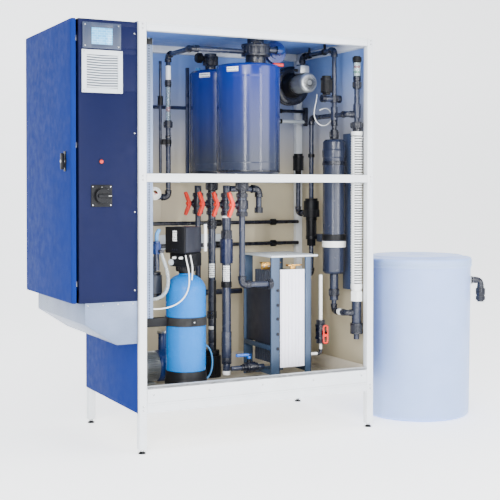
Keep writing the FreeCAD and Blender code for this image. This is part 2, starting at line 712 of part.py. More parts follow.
def body_of_fins():
    """The finned cooling column: a core with round fins cut by a row of grooves."""
    base = at(size["riser_line"], size["riser_depth"], 746)
    body = turned("fin_body", [("0", "0"), ("fin_radius", "0"), ("fin_radius", "856"),
                               ("0", "856")], base)
    sketch = sketch_on(body, "fin_gap_outline", "XZ_Plane")
    outline(sketch, rectangle("fin_radius - 10", "30", "fin_radius + 1", "35"))
    groove = body.newObject("PartDesign::Groove", "fin_gap")
    groove.Profile = sketch
    groove.ReferenceAxis = (sketch, ["V_Axis"])
    groove.Angle = 360
    row = body.newObject("PartDesign::LinearPattern", "fin_gaps")
    row.Originals = [groove]
    row.Direction = (sketch, ["V_Axis"])
    bind(row, "Length", "57 * fin_pitch")
    row.Occurrences = 58
    body.Tip = row
    return body


def build_upper_pipes():
    column_x = size["column_line"]
    column_y = size["column_depth"]
    riser_x = size["riser_line"]
    riser_y = size["riser_depth"]
    feed_x = size["feed_line"]
    feed_y = size["feed_depth"]
    front = size["tank_front_line"]
    pieces = []
    # feed riser, its top bend and the run to the front tank's head
    pieces += pipe_run("feed", "pipe_mid", at(feed_x, feed_y, 1881), at(feed_x, feed_y, 2016),
                       at(feed_x, front, 2016), at(665.7, front, 2016))
    pieces.append(stepped("feed_cone", [("19", "38")], at(feed_x, feed_y, 1842.7)))
    pieces.append(stepped("feed_union", [("pipe_mid", "280.7"), ("26", "40")],
                          at(feed_x, feed_y, 1341)))
    pieces.append(cylinder("feed_drop", "pipe_mid", "48", at(feed_x, feed_y, 1292.8)))
    pieces.append(box("feed_clamp", "22", "34", "30", at(feed_x - 38, feed_y - 17, 1530)))
    bypass = [("pipe_small", "400"), ("17", "50"), ("pipe_small", "190")]
    pieces.append(stepped("bypass", bypass, at(feed_x - 32, feed_y + 34, 1345)))
    pieces.append(cylinder("back_stay", "10", "526", at(2.3, 650, 1742), "+X"))
    pieces.append(box("stay_post", "17", "17", "600", at(529, 641.5, 1367)))
    # vent pipe from the blower, along the right wall and down to the actuated valve
    pieces += pipe_run("vent", "pipe_mid", at(column_x, 561, BLOWER_Z + 126.3),
                       at(column_x, 561, 2056), at(column_x, column_y, 2056),
                       at(column_x, column_y, 1806))
    # column head: valve body, neck and union above the separator column
    head = [("27", "50"), ("14", "22")]
    pieces.append(stepped("column_head", head, at(column_x, column_y, 1566.3)))
    tee = [("20", "104"), ("14", "24"), ("24", "39.2")]
    barrel = stepped("vent_barrel", [("21", "24"), ("17", "84"), ("21", "12")],
                     at(column_x - 82, column_y, 1786), "+X")
    pieces.append(fuse("column_tee", stepped("tee", tee, at(column_x, column_y, 1638.5)), barrel))
    # loop from the riser past the column and down behind it
    pieces += pipe_run("cross", "pipe_mid", at(column_x, column_y + 20.3, 1695),
                       at(column_x, 455, 1695), at(column_x, 455, 1236.3))
    pieces += pipe_run("link", "pipe_mid", at(column_x, column_y - 20.3, 1695),
                       at(column_x, riser_y, 1695), at(riser_x - 20.3, riser_y, 1695))
    riser = [("24", "18"), ("36", "32"), ("14.5", "24"), ("20", "76"), ("14.5", "82"),
             ("25", "44"), ("21", "23.9")]
    pieces.append(stepped("riser", riser, at(riser_x, riser_y, 1602.3)))
    pieces.append(stepped("riser_cap", [("25", "36")], at(riser_x, riser_y, 1974.5)))
    # two stays along the back wall
    for count, z in enumerate((1690, 1751)):
        pieces.append(cylinder("rear_stay%d" % count, "10", "425", at(900, 716, z), "+X"))
    pieces.append(box("stay_bracket", "20", "30", "110", at(1325.3, 701, 1665)))
    node("upper_pipes", *pieces)

    tubes = [
        ring("meter_tube", "pipe_mid", "pipe_mid - 3", "180", at(feed_x, feed_y, 1662.2)),
        ring("sight_tube", "21", "17", "72", at(riser_x, riser_y, 1902.5)),
    ]
    node("sight_tubes", *tubes)
    bob = [("0", "0"), ("6", "4"), ("9.5", "20"), ("9.5", "27"), ("0", "27")]
    node("rotameter_float", turned("float", bob, at(feed_x, feed_y, 1708)))


def build_motor_valves():
    """Electric actuators: ribbed black housings on their valve bodies."""
    column_x = size["column_line"]
    column_y = size["column_depth"]
    pieces = [
        stepped("vent_actuator", [("26", "12"), ("33", "80"), ("26", "12")],
                at(column_x - 50, column_y, 1807.3)),
        stepped("loop_actuator", [("20", "30"), ("32", "86"), ("26", "10")],
                at(column_x - 4, 600, 1368)),
        stepped("cell_actuator", [("28", "36"), ("32", "128"), ("47", "40"), ("44", "52"),
                                  ("36", "14")], at(column_x, 455, 966)),
        box("cell_actuator_box", "52", "48", "44", at(column_x + 32.3, 431, 1010)),
    ]
    node("motor_valves", *pieces)


# ------------------------------------------------------------------- valves and lower pipes

def valve_lines():
    first = size["valve_front"]
    return [first + size["valve_pitch"] * count for count in range(4)]


def build_valves():
    x = size["valve_line"]
    z = size["valve_height"]
    bodies = []
    for count, y in enumerate(valve_lines()):
        steps = [("31", "26"), ("26", "12"), ("33", "46"), ("26", "12"), ("31", "26")]
        barrel = stepped("valve_barrel%d" % count, steps, at(x, y, z - 61))
        stem = cylinder("valve_stem%d" % count, "13", "46", at(x, y, z), "-X")
        bodies.append(fuse("valve%d" % count, barrel, stem))
        knob = stepped("lever_hub%d" % count, [("12", "12"), ("9", "14")],
                       at(x - 46.3, y, z), "-X")
        wing = [("-68", "12"), ("-62", "24"), ("-36", "17"), ("0", "5"), ("36", "17"),
                ("62", "24"), ("68", "12"), ("36", "-3"), ("15", "-12"), ("-15", "-12"),
                ("-36", "-3")]
        arm = padded("lever_wing%d" % count, wing, "26", at(x - 60, y + 13, z),
                     Rotation(Vector(0, 0, 1), Vector(-1, 0, 0), Vector(0, -1, 0), "ZXY"))
        node("valve_lever_%d" % (count + 1), fuse("lever%d" % count, knob, arm))
    drain = stepped("drain_ball", [("16", "14"), ("22", "16"), ("30", "50"), ("22", "16")],
                    at(666, 232, 338), "+X")
    drain_stem = cylinder("drain_stem", "9", "42", at(712, 232, 342))
    bodies.append(fuse("drain_valve", drain, drain_stem))
    dosing = stepped("dosing_body", [("24", "24"), ("30", "80"), ("24", "24")],
                     at(DOSING_X, 215, 441))
    dosing_stem = cylinder("dosing_stem", "8", "38", at(DOSING_X, 215, 505), "-Y")
    bodies.append(fuse("dosing_valve", dosing, dosing_stem))
    inlet = stepped("inlet_body", [("23", "50"), ("17", "14")], at(150, 150, 964))
    port = box("inlet_side_port", "24", "44", "14", at(151, 107, 972))
    bodies.append(fuse("inlet_valve", inlet, port))
    node("valve_bodies", *bodies)

    lever = padded("drain_wing", [("-10", "-9"), ("6", "-11"), ("72", "-7"), ("78", "0"),
                                  ("72", "7"), ("6", "11"), ("-10", "9")], "15",
                   at(712, 232, 398), Rotation(Vector(0, 0, 1), 180))
    collar = cylinder("drain_collar", "12", "13.7", at(712, 232, 384.3))
    node("drain_lever", fuse("drain_handle", lever, collar))
    loop = [("-10", "-54"), ("10", "-54"), ("17", "-30"), ("17", "30"), ("10", "54"),
            ("-10", "54"), ("-17", "30"), ("-17", "-30")]
    ring_outer = padded("ring_outer", loop, "12", at(DOSING_X, 168, 495), FACING_FRONT)
    hole_low = box("ring_slot_low", "16", "30", "28", at(DOSING_X - 8, 150, 495 - 46))
    hole_high = box("ring_slot_high", "16", "30", "28", at(DOSING_X - 8, 150, 495 + 18))
    neck = cylinder("ring_neck", "9", "11", at(DOSING_X, 176.7, 505), "-Y")
    node("dosing_handle", fuse("ring_handle", cut("ring_loop", ring_outer, hole_low, hole_high),
                               neck))
    wing = padded("inlet_wing", [("-9", "-8"), ("9", "-8"), ("9", "20"), ("22", "46"),
                                 ("6", "50"), ("-9", "26")], "12", at(150, 156, 1040),
                  FACING_FRONT)
    post = cylinder("inlet_post", "8", "12", at(150, 150, 1028.3))
    node("inlet_lever", fuse("inlet_handle", wing, post))


def build_lower_pipes():
    x = size["valve_line"]
    top = size["valve_height"] + 61.3
    low = size["valve_height"] - 61.3
    lines = valve_lines()
    pieces = []
    # tank outlets: a union under each tank above valves 1 and 3
    for count, y in ((0, lines[0]), (2, lines[2])):
        outlet = [("22", "14"), ("35", "45"), ("20", "37.4")]
        pieces.append(stepped("outlet%d" % count, outlet, at(x, y, top)))
    for count, y in ((1, lines[1]), (3, lines[3])):
        pieces.append(stepped("header_stub%d" % count, [("20", "40")], at(x, y, top)))
    pieces += pipe_run("header", "pipe_large", at(x + 20.3, lines[1], 1291),
                       at(820, lines[1], 1291), at(820, lines[1], 1190))
    pieces.append(stepped("header_union", [("23", "30")], at(820, lines[1], 1189.7), "-Z"))
    # front line: down and across into the cell
    pieces += pipe_run("cell_feed", "pipe_large", at(x, lines[0], low), at(x, lines[0], 790),
                       at(size["cell_left"] - 26.3, lines[0], 790))
    pieces.append(stepped("cell_union", [("27", "24")],
                          at(size["cell_left"] - 26, lines[0], 790), "+X"))
    # second line, the widest, with two sleeves and a union
    second = [("21", "21"), ("20", "38"), ("27", "173"), ("pipe_main", "239"),
              ("29", "30"), ("pipe_main", "100"), ("35", "129"), ("28", "4"), ("30", "43"),
              ("pipe_main", "78.7")]
    total = sum(float(length) for radius, length in second)
    pieces.append(stepped("second_line", second, at(x, lines[1], low - total)))
    third = [("pipe_wide", "72"), ("18", "19"), ("pipe_wide", "42"), ("27", "39"),
             ("pipe_wide", "455"), ("27", "50"), ("pipe_wide", "28")]
    total = sum(float(length) for radius, length in third)
    pieces.append(stepped("third_line", third, at(x, lines[2], low - total)))
    pieces += pipe_run("fourth", "pipe_large", at(x, lines[3], low), at(x, lines[3], 700),
                       at(900, lines[3], 700))
    pieces.append(stepped("sump_pump", [("50", "118"), ("42", "30"), ("21", "41.6")],
                          at(x, lines[2], 251.8)))
    pieces.append(cylinder("thin_drop", "7", "380", at(596, 412, 414)))
    # feed riser's bottom bend to the gauge
    feed_x = size["feed_line"]
    feed_y = size["feed_depth"]
    pieces += pipe_run("gauge_feed", "pipe_mid", at(feed_x, feed_y, 1292.5),
                       at(feed_x, feed_y, 1246), at(GAUGE_X - 12, feed_y, 1246))
    pieces.append(cylinder("gauge_stem", "7", "14", at(GAUGE_X, feed_y - 13.8, 1246), "-Y"))
    # rear stays and the wide rail on the back wall
    for count, z in enumerate((1094, 968)):
        pieces.append(cylinder("rear_bar%d" % count, "11", "1100", at(205, 748, z), "+X"))
    pieces.append(ring("rear_clamp_low", "19", "11.1", "30", at(1120, 748, 1094), "+X"))
    # separator column: bottom neck, bend, run to the riser's tee
    column_x = size["column_line"]
    column_y = size["column_depth"]
    riser_x = size["riser_line"]
    riser_y = size["riser_depth"]
    pieces.append(stepped("column_union", [("30", "42"), ("pipe_main", "101.7")],
                          at(column_x, column_y, 676)))
    pieces += pipe_run("return", "pipe_mid", at(column_x, column_y, 675.7),
                       at(column_x, column_y, 618), at(column_x, riser_y, 618),
                       at(riser_x - 26.3, riser_y, 618))
    tail = [("15", "30"), ("35", "58"), ("26", "120"), ("35", "54"), ("28", "11.7")]
    pieces.append(stepped("riser_tail", tail, at(riser_x, riser_y, 472)))
    # dosing line beside the cell
    pieces += pipe_run("dosing", "pipe_small", at(1060, 215, 386), at(DOSING_X, 215, 386),
                       at(DOSING_X, 215, 440.7))
    pieces.append(stepped("dosing_riser", [("10", "249")], at(DOSING_X, 215, 569.3)))
    pieces.append(stepped("white_tube", [("8", "139")], at(426, 164, 970)))
    # return lines from the two rear actuators
    pieces += pipe_run("cell_return", "pipe_mid", at(column_x, 455, 965.7),
                       at(column_x, 455, 800), at(1052, 455, 800))
    pieces += pipe_run("loop_return", "pipe_mid", at(column_x - 4, 600, 1367.7),
                       at(column_x - 4, 600, 1150), at(column_x - 4, 502.4, 1150))
    # pump delivery, filter bowl and the lines to the left wall
    pieces.append(stepped("filter_bowl", [("38", "8"), ("44", "120"), ("38", "16"),
                                          ("15", "80")], at(206, 330, 716)))
    pieces.append(cylinder("inlet_drop", "15", "84", at(150, 150, 879.7)))
    pieces.append(stepped("drain_tail", [("13", "60")], at(605.7, 232, 338), "+X"))
    pieces.append(stepped("drain_outlet", [("13", "40")], at(762.3, 232, 338), "+X"))
    for count, (sx, sz) in enumerate(SPIGOTS):
        pieces.append(stepped("spigot%d" % count, [("pipe_main", "64.3"), ("32", "14"),
                                                   ("pipe_main", "43.7")],
                              at(sx, 753, sz), "+Y"))
    node("lower_pipes", *pieces)


def build_gauge():
    feed_y = size["feed_depth"]
    place = at(GAUGE_X, feed_y - 28.1, 1266)
    case = stepped("gauge_case", [("30", "6"), ("34", "22"), ("35", "3")], place, "-Y")
    dial = cylinder("gauge_recess", "31", "5", place + Vector(0, -28, 0), "-Y")
    pivot_hole = cylinder("gauge_pivot_hole", "1.5", "12", place + Vector(0, -18, 0), "-Y")
    node("pressure_gauge", cut("gauge", case, dial, pivot_hole))
    blade = padded("needle_blade", [("-2", "-8"), ("2", "-8"), ("0.8", "24"), ("-0.8", "24")],
                   "0.8", place + Vector(0, -29, 0), FACING_FRONT)
    pivot = cylinder("needle_pivot", "1.44", "11", place + Vector(0, -18.8, 0), "-Y")
    node("gauge_needle", fuse("needle", blade, pivot))


# ------------------------------------------------------------------ softener, pump and cell

def build_softener():
    x = size["softener_line"]
    y = size["softener_depth"]
    floor = size["base_bottom"] + size["base_rail"] + 1 + size["tray_wall"] + 0.2
    shell = [("0", "0"), ("softener_radius", "0")]
    dome_start = 408.0
    shell.append(("softener_radius", "%g" % dome_start))
    for step in range(1, 7):
        angle = math.radians(15 * step)
        rise = dome_start + 86 * math.sin(angle)
        shell.append(("softener_radius * %.4f" % max(math.cos(angle), 0.34), "%.2f" % rise))
    shell.append(("0", "%.2f" % (dome_start + 86)))
    base_top = 364.5
    node("softener_vessel", turned("vessel", shell, at(x, y, base_top)))
    cup = stepped("softener_cup", [("softener_radius + 6", "70"), ("softener_radius + 2", "%g"
                                                                  % (base_top - floor - 70.2))],
                  at(x, y, floor))
    strap = ring("softener_strap", "softener_radius + 5", "softener_radius + 0.3", "45",
                 at(x, y, 594))
    arm = box("strap_arm", "120", "40", "45", at(98, y - 20, 594))
    arm_cut = cylinder("strap_arm_hollow", "softener_radius + 0.3", "60", at(x, y, 590))
    bracket = cut("strap_bracket", fuse("strap_blank", strap, arm), arm_cut)
    node("softener_mounts", cup, bracket)
    head_low = base_top + dome_start + 86.2
    turn = Rotation(Vector(0, 0, 1), -60)
    block = turned_box("head_block", ("118", "120", "70"), at(x, y, head_low + 36), turn,
                       Vector(-59, -60, 0))
    collar = stepped("head_collar", [("36", "10"), ("52", "26.5")], at(x, y, head_low))
    hood = at(x - 12, y, head_low + 106.3)
    timer = turned_box("timer_box", ("121", "16", "134"), hood, turn, Vector(-60.5, -76, 0))
    node("softener_valve", fuse("head", collar, block), timer)
    cover = turned_box("head_cover", ("119", "138", "133"), hood, turn, Vector(-59.5, -59.8, 0))
    node("softener_cover", cover)


def build_pump():
    y = 460
    z = 345
    shell = ring("pump_motor_shell", "80", "pin_radius + 4 + running_gap", "150",
                 at(122, y, z), "+X")
    hood = stepped("pump_fan_hood", [("74", "12"), ("82", "30")], at(79.5, y, z), "+X")
    foot = box("pump_foot", "110", "90", "12.3", at(140, y - 45, 251.5))
    casing = ring("pump_casing_shell", "84", "58", "46", at(284.3, y, z), "+X")
    back = ring("pump_casing_back", "84", "pin_radius + 4 + running_gap", "12",
                at(272.3, y, z), "+X")
    front = cylinder("pump_casing_front", "84", "10", at(330.3, y, z), "+X")
    neck = stepped("pump_delivery", [("22", "96"), ("30", "16")], at(307, y, z + 74))
    bore = cylinder("pump_delivery_bore", "14", "120", at(307, y, z + 50))
    head = cut("pump_case", fuse("pump_case_blank", casing, back, front, neck), bore)
    node("transfer_pump", shell, hood, foot, head)
    shaft = cylinder("pump_shaft", "pin_radius + 4", "176", at(134, y, z), "+X")
    wheel = cylinder("pump_wheel", "48", "22", at(292, y, z), "+X")
    node("pump_rotor", fuse("pump_impeller", shaft, wheel))


def build_cell():
    left = size["cell_left"]
    front = size["cell_front"]
    low = size["cell_bottom"]
    top = size["cell_top"]
    profiles = []
    for name, x, y, width, depth in (
            ("front_left", left, front, "54", "12"), ("front_right", left + 210, front, "36", "12"),
            ("rear_left", left, front + 318, "54", "12"),
            ("rear_right", left + 210, front + 318, "36", "12")):
        profiles.append(box("cell_post_" + name, width, depth, "cell_top - cell_bottom",
                            at(x, y, low)))
    for name, x in (("left", left), ("right", left + 236)):
        for level, z in (("low", 300), ("high", 430)):
            if name == "left" or level == "low":
                profiles.append(box("cell_rail_%s_%s" % (name, level), "10", "306 - 0.4", "26",
                                    at(x, front + 12.2, z)))
    for name, y in (("front", front), ("rear", front + 318)):
        profiles.append(box("cell_foot_" + name, "155.6", "12", "30", at(left + 54.2, y, low)))
    bolts = []
    for z in (438, 516, 597, 671, 750):
        bolts.append(stepped("cell_bolt%d" % z, [("8", "5"), ("5", "3")],
                             at(left + 42, front - 0.05, z), "-Y"))
    cover = box("cell_side_cover", "6", "300", "292", at(left + 12, front + 14, 458))
    node("cell_frame", cover, *profiles, *bolts)
    plates = []
    depth = front + 21
    count = 0
    while depth < front + 300:
        plates.append(box("cell_plate%d" % count, "150", "plate_thick", "500",
                          at(left + 57, depth, 345)))
        depth += size["plate_pitch"]
        count += 1
    node("cell_plates", *plates)
    end = padded("end_plate_body", rectangle("0", "0", "149", "524"), "14",
                 at(left + 57.5, front + 15, 335), FACING_FRONT)
    ridge = sketch_on(end, "end_plate_flute", "XY_Plane")
    outline(ridge, rectangle("12", "0", "21", "524"))
    flute = end.newObject("PartDesign::Pocket", "end_plate_flutes")
    flute.Profile = ridge
    flute.Length = 4
    flute.Reversed = True
    row = end.newObject("PartDesign::LinearPattern", "end_plate_row")
    row.Originals = [flute]
    row.Direction = (ridge, ["H_Axis"])
    row.Length = 116
    row.Occurrences = 5
    end.Tip = row
    node("cell_end_plate", end)
    node("cell_top_plate", box("top_plate", "286", "336", "10", at(left, front - 1, top + 0.3)))
    bars = [box("busbar_front", "86", "30", "8", at(left + 115, front + 22, 876)),
            box("busbar_link", "30", "8", "30", at(left + 140, front + 40, 845.3)),
            box("busbar_side", "60", "8", "34", at(left + 20, front + 150, 852)),
            box("busbar_rear", "120", "30", "8", at(left + 70, front + 240, 876))]
    node("busbars", *bars)


# --------------------------------------------------------------- brine tank, hoses, cables

def build_brine_tank():
    base = at(size["brine_line"], size["brine_depth"], 0)
    profile = [("0", "0"), ("brine_radius - 14", "0"), ("brine_radius", "14"),
               ("brine_rim_radius - 1", "brine_rim_top - 50"),
               ("brine_rim_radius", "brine_rim_top - 38"), ("brine_rim_radius", "brine_rim_top"),
               ("brine_rim_radius - 8", "brine_rim_top"),
               ("brine_rim_radius - 8", "brine_rim_top - 38"),
               ("brine_radius - brine_wall", "20"), ("brine_radius - 16", "8"), ("0", "8")]
    shell = turned("brine_shell", profile, base)
    outward = Vector(math.cos(math.radians(-39)), math.sin(math.radians(-39)), 0)
    hole = cylinder("brine_fitting_hole", "14", "60", base + outward * 280 + Vector(0, 0, 770),
                    outward)
    node("brine_tank", cut("brine_body", shell, hole))
    lid = [("0", "24"), ("0", "0"), ("brine_rim_radius + 0.4", "0"),
           ("brine_rim_radius + 0.4", "-34"), ("lid_radius", "-34"), ("lid_radius", "8"),
           ("lid_radius - 8", "16"), ("lid_radius - 40", "20"), ("lid_radius - 60", "29"),
           ("60", "29"), ("40", "24")]
    node("brine_lid", turned("lid", lid, base + Vector(0, 0, size["brine_rim_top"] + 0.4)))
    flange_start = base + outward * 311 + Vector(0, 0, 770)
    stub = stepped("brine_stub", [("25", "8"), ("17", "4.4")], flange_start, outward)
    spout = base + outward * 363 + Vector(0, 0, 770)
    bend, reach = elbow("brine_elbow", spout, outward, Vector(0, 0, -1), "brine_pipe")
    nut = stepped("brine_nut", [("20", "6"), ("27", "40"), ("22", "6"), ("27", "22"),
                                ("19", "10")], spout + Vector(0, 0, -reach), "-Z")
    node("brine_fitting", stub, bend, nut)


def build_flexibles():
    signal = [(276, 74, 958), (279, 70, 930), (288, 68, 896), (294, 68, 854), (293, 67, 810),
              (281, 66, 770), (256, 66, 736), (218, 66, 712), (175, 67, 700), (129, 70, 696),
              (84, 72, 698), (46, 73, 702), (14.3, 74, 704)]
    spur = [(304, 80, 958), (309, 78, 932), (314, 74, 902), (311, 68, 868), (305, 62, 834)]
    node("signal_cables", free_tube("signal_main", "signal_cable", [at(*p) for p in signal]),
         free_tube("signal_spur", "signal_cable", [at(*p) for p in spur]))
    drain = [(163, 117, 969.5), (174, 114, 932), (188, 111, 892), (197, 109, 848),
             (195, 108, 802), (177, 107, 764), (142, 106, 744), (102, 106, 742),
             (66, 107, 750), (33, 107, 757), (1, 108, 760)]
    node("drain_hose_run", free_tube("drain_tube", "drain_hose", [at(*p) for p in drain]))
    sensor = [(1184, 322, 1818), (1179, 316, 1792), (1167, 308, 1762), (1154, 300, 1730),
              (1149, 294, 1694), (1162, 288, 1660), (1192, 284, 1641), (1226, 281, 1646),
              (1251, 278, 1672), (1252, 275, 1708), (1230, 272, 1735), (1198, 270, 1740),
              (1170, 270, 1726)]
    node("sensor_lead", free_tube("sensor_tube", "sensor_cable", [at(*p) for p in sensor]))
    air = [(470, 300, 470), (496, 300, 462), (516, 301, 436), (528, 302, 400),
           (530, 302, 362), (524, 302, 324), (508, 301, 292), (484, 300, 276)]
    node("air_hose_run", free_tube("air_tube", "air_hose", [at(*p) for p in air]))


build_frame()
build_casing()
build_control_box()
build_tanks()
build_blower()
build_columns()
build_upper_pipes()
build_motor_valves()
build_valves()
build_lower_pipes()
build_gauge()
build_softener()
build_pump()
build_cell()
build_brine_tank()
build_flexibles()
doc.recompute()

failed = [item.Label for item in doc.Objects if "Invalid" in item.State or "Error" in item.State]
if failed:
    raise RuntimeError("these did not recompute: %s" % ", ".join(failed))
os.makedirs("parts", exist_ok=True)
box_all = FreeCAD.BoundBox()
for label, item in nodes.items():
    shape = item.Shape
    if shape.isNull() or not shape.isValid():
        raise RuntimeError("%s has no valid shape" % label)
    box_all.add(shape.BoundBox)
    shape.exportStep("parts/%s.step" % label)
print("%d sub-parts, X %.1f..%.1f Y %.1f..%.1f Z %.1f..%.1f" % (
    len(nodes), box_all.XMin, box_all.XMax, box_all.YMin, box_all.YMax, box_all.ZMin,
    box_all.ZMax))
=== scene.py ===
import logging
import math
from dataclasses import dataclass
from enum import Enum

import bmesh
import bpy
from mathutils import Euler, Matrix, Quaternion, Vector


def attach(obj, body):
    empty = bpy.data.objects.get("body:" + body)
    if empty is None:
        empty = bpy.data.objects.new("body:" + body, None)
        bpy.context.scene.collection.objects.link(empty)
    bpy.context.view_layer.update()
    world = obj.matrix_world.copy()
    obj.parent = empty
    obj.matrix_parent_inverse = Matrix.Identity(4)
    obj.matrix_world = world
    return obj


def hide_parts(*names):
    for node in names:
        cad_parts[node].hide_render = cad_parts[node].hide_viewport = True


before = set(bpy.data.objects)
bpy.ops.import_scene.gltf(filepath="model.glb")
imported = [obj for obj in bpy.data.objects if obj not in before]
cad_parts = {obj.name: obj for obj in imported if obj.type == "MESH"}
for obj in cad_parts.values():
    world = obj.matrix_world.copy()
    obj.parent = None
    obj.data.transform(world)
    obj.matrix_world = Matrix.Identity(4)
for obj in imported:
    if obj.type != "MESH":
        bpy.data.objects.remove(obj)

logging.basicConfig(level=logging.INFO, format="%(message)s")
log = logging.getLogger("salt_chlorine_generator")

FRAME_LEFT = -0.8745
FRAME_FRONT = -0.3915
UP = Vector((0, 0, 1))
RELIEF_STEP = 0.001
ANY_TURN = 3.0


def at(x: float, y: float, z: float) -> Vector:
    """A point of the machine in the row frame.

    Args:
        x: millimetres to the right of the frame's left side.
        y: millimetres behind the frame's front.
        z: millimetres above the floor.

    Returns:
        The point, in metres.
    """
    return Vector((FRAME_LEFT + x / 1000, FRAME_FRONT + y / 1000, z / 1000))


def stand(x: float, y: float, z: float) -> Matrix:
    """An upright place at a point of the machine.

    Args:
        x: millimetres to the right of the frame's left side.
        y: millimetres behind the frame's front.
        z: millimetres above the floor.

    Returns:
        The matrix from local to row frame.
    """
    return Matrix.Translation(at(x, y, z))


def paint(red: int, green: int, blue: int) -> tuple[float, float, float, float]:
    """A display colour as the linear colour a shader needs.

    Args:
        red: 0 to 255.
        green: 0 to 255.
        blue: 0 to 255.

    Returns:
        The linear colour with full alpha.
    """
    shares = [((c / 255 + 0.055) / 1.055) ** 2.4 if c > 10 else c / 3294 for c in (red, green, blue)]
    return (*shares, 1.0)


class Along(Enum):
    """The six square directions."""

    RIGHT = (1, 0, 0)
    LEFT = (-1, 0, 0)
    BACK = (0, 1, 0)
    FRONT = (0, -1, 0)
    UP = (0, 0, 1)
    DOWN = (0, 0, -1)


class Body(str, Enum):
    """The rigid bodies that pieces move with."""

    SKID = "skid"
    DOOR = "door"
    HANDLE = "handle"
    LOCK = "lock"
    SWITCH = "switch"
    FAN = "fan"
    FLOAT = "float"
    NEEDLE = "needle"
    LEVER_1 = "lever_1"
    LEVER_2 = "lever_2"
    LEVER_3 = "lever_3"
    LEVER_4 = "lever_4"
    DOSING = "dosing"
    DRAIN = "drain"
    INLET = "inlet"
    LID = "lid"


class Edge(Enum):
    """How the outside of one length of a fitting is made."""

    PLAIN = 0
    HEX = 6
    RIBBED = 24


# ------------------------------------------------------------------------------------ finishes


class Nodes:
    """A short way to add and join shader nodes."""

    def __init__(self, material: bpy.types.Material) -> None:
        """Starts from an empty tree with one shader and its output.

        Args:
            material: the material whose tree this is.
        """
        material.use_nodes = True
        self.tree = material.node_tree
        self.tree.nodes.clear()
        self.shader = self.tree.nodes.new("ShaderNodeBsdfPrincipled")
        output = self.tree.nodes.new("ShaderNodeOutputMaterial")
        self.tree.links.new(self.shader.outputs["BSDF"], output.inputs["Surface"])
        self.place = self.tree.nodes.new("ShaderNodeTexCoord").outputs["Object"]

    def add(self, kind: str, links: dict | None = None, **sizes: object) -> bpy.types.Node:
        """Adds one node.

        Args:
            kind: the node's type name.
            links: input name to the socket that feeds it.
            sizes: input name, in lower case with underscores, to its number.

        Returns:
            The new node.
        """
        node = self.tree.nodes.new(kind)
        for name, number in sizes.items():
            node.inputs[name.replace("_", " ").title()].default_value = number
        for name, socket in (links or {}).items():
            self.tree.links.new(socket, node.inputs[name])
        return node

    def noise(self, scale: float, detail: float = 3.0, source: object = None) -> object:
        """A noise that is fixed to the object.

        Args:
            scale: how many lumps there are in a metre.
            detail: how many finer layers it has.
            source: the coordinates, if they aren't the object's own.

        Returns:
            The socket with values from 0 to 1.
        """
        made = self.add("ShaderNodeTexNoise", {"Vector": source or self.place}, scale=scale,
                detail=detail)
        return made.outputs[0]

    def spread(self, socket: object, low: float, high: float) -> object:
        """Stretches the middle of a noise over a range.

        Args:
            socket: the noise.
            low: the lowest number given.
            high: the highest number given.

        Returns:
            The stretched socket.
        """
        made = self.add("ShaderNodeMapRange", {"Value": socket})
        made.inputs["From Min"].default_value = 0.3
        made.inputs["From Max"].default_value = 0.7
        made.inputs["To Min"].default_value = low
        made.inputs["To Max"].default_value = high
        return made.outputs["Result"]

    def mix(self, share: object, first: object, second: object) -> object:
        """Mixes two colours.

        Args:
            share: the socket that says how much of the second is used.
            first: a colour or a socket.
            second: a colour or a socket.

        Returns:
            The mixed colour's socket.
        """
        node = self.tree.nodes.new("ShaderNodeMix")
        node.data_type = "RGBA"
        self.tree.links.new(share, node.inputs[0])
        for slot, value in ((6, first), (7, second)):
            if isinstance(value, tuple):
                node.inputs[slot].default_value = value
            else:
                self.tree.links.new(value, node.inputs[slot])
        return node.outputs[2]

    def relief(self, height: object, strength: float) -> None:
        """Raises the surface by a height map.

        Args:
            height: the socket with the heights.
            strength: how much of it shows.
        """
        bump = self.add("ShaderNodeBump", {"Height": height}, strength=strength)
        bump.inputs["Distance"].default_value = RELIEF_STEP
        self.tree.links.new(bump.outputs["Normal"], self.shader.inputs["Normal"])

    def colour(self, socket: object) -> None:
        """Feeds the shader's colour.

        Args:
            socket: the colour.
        """
        self.tree.links.new(socket, self.shader.inputs["Base Color"])


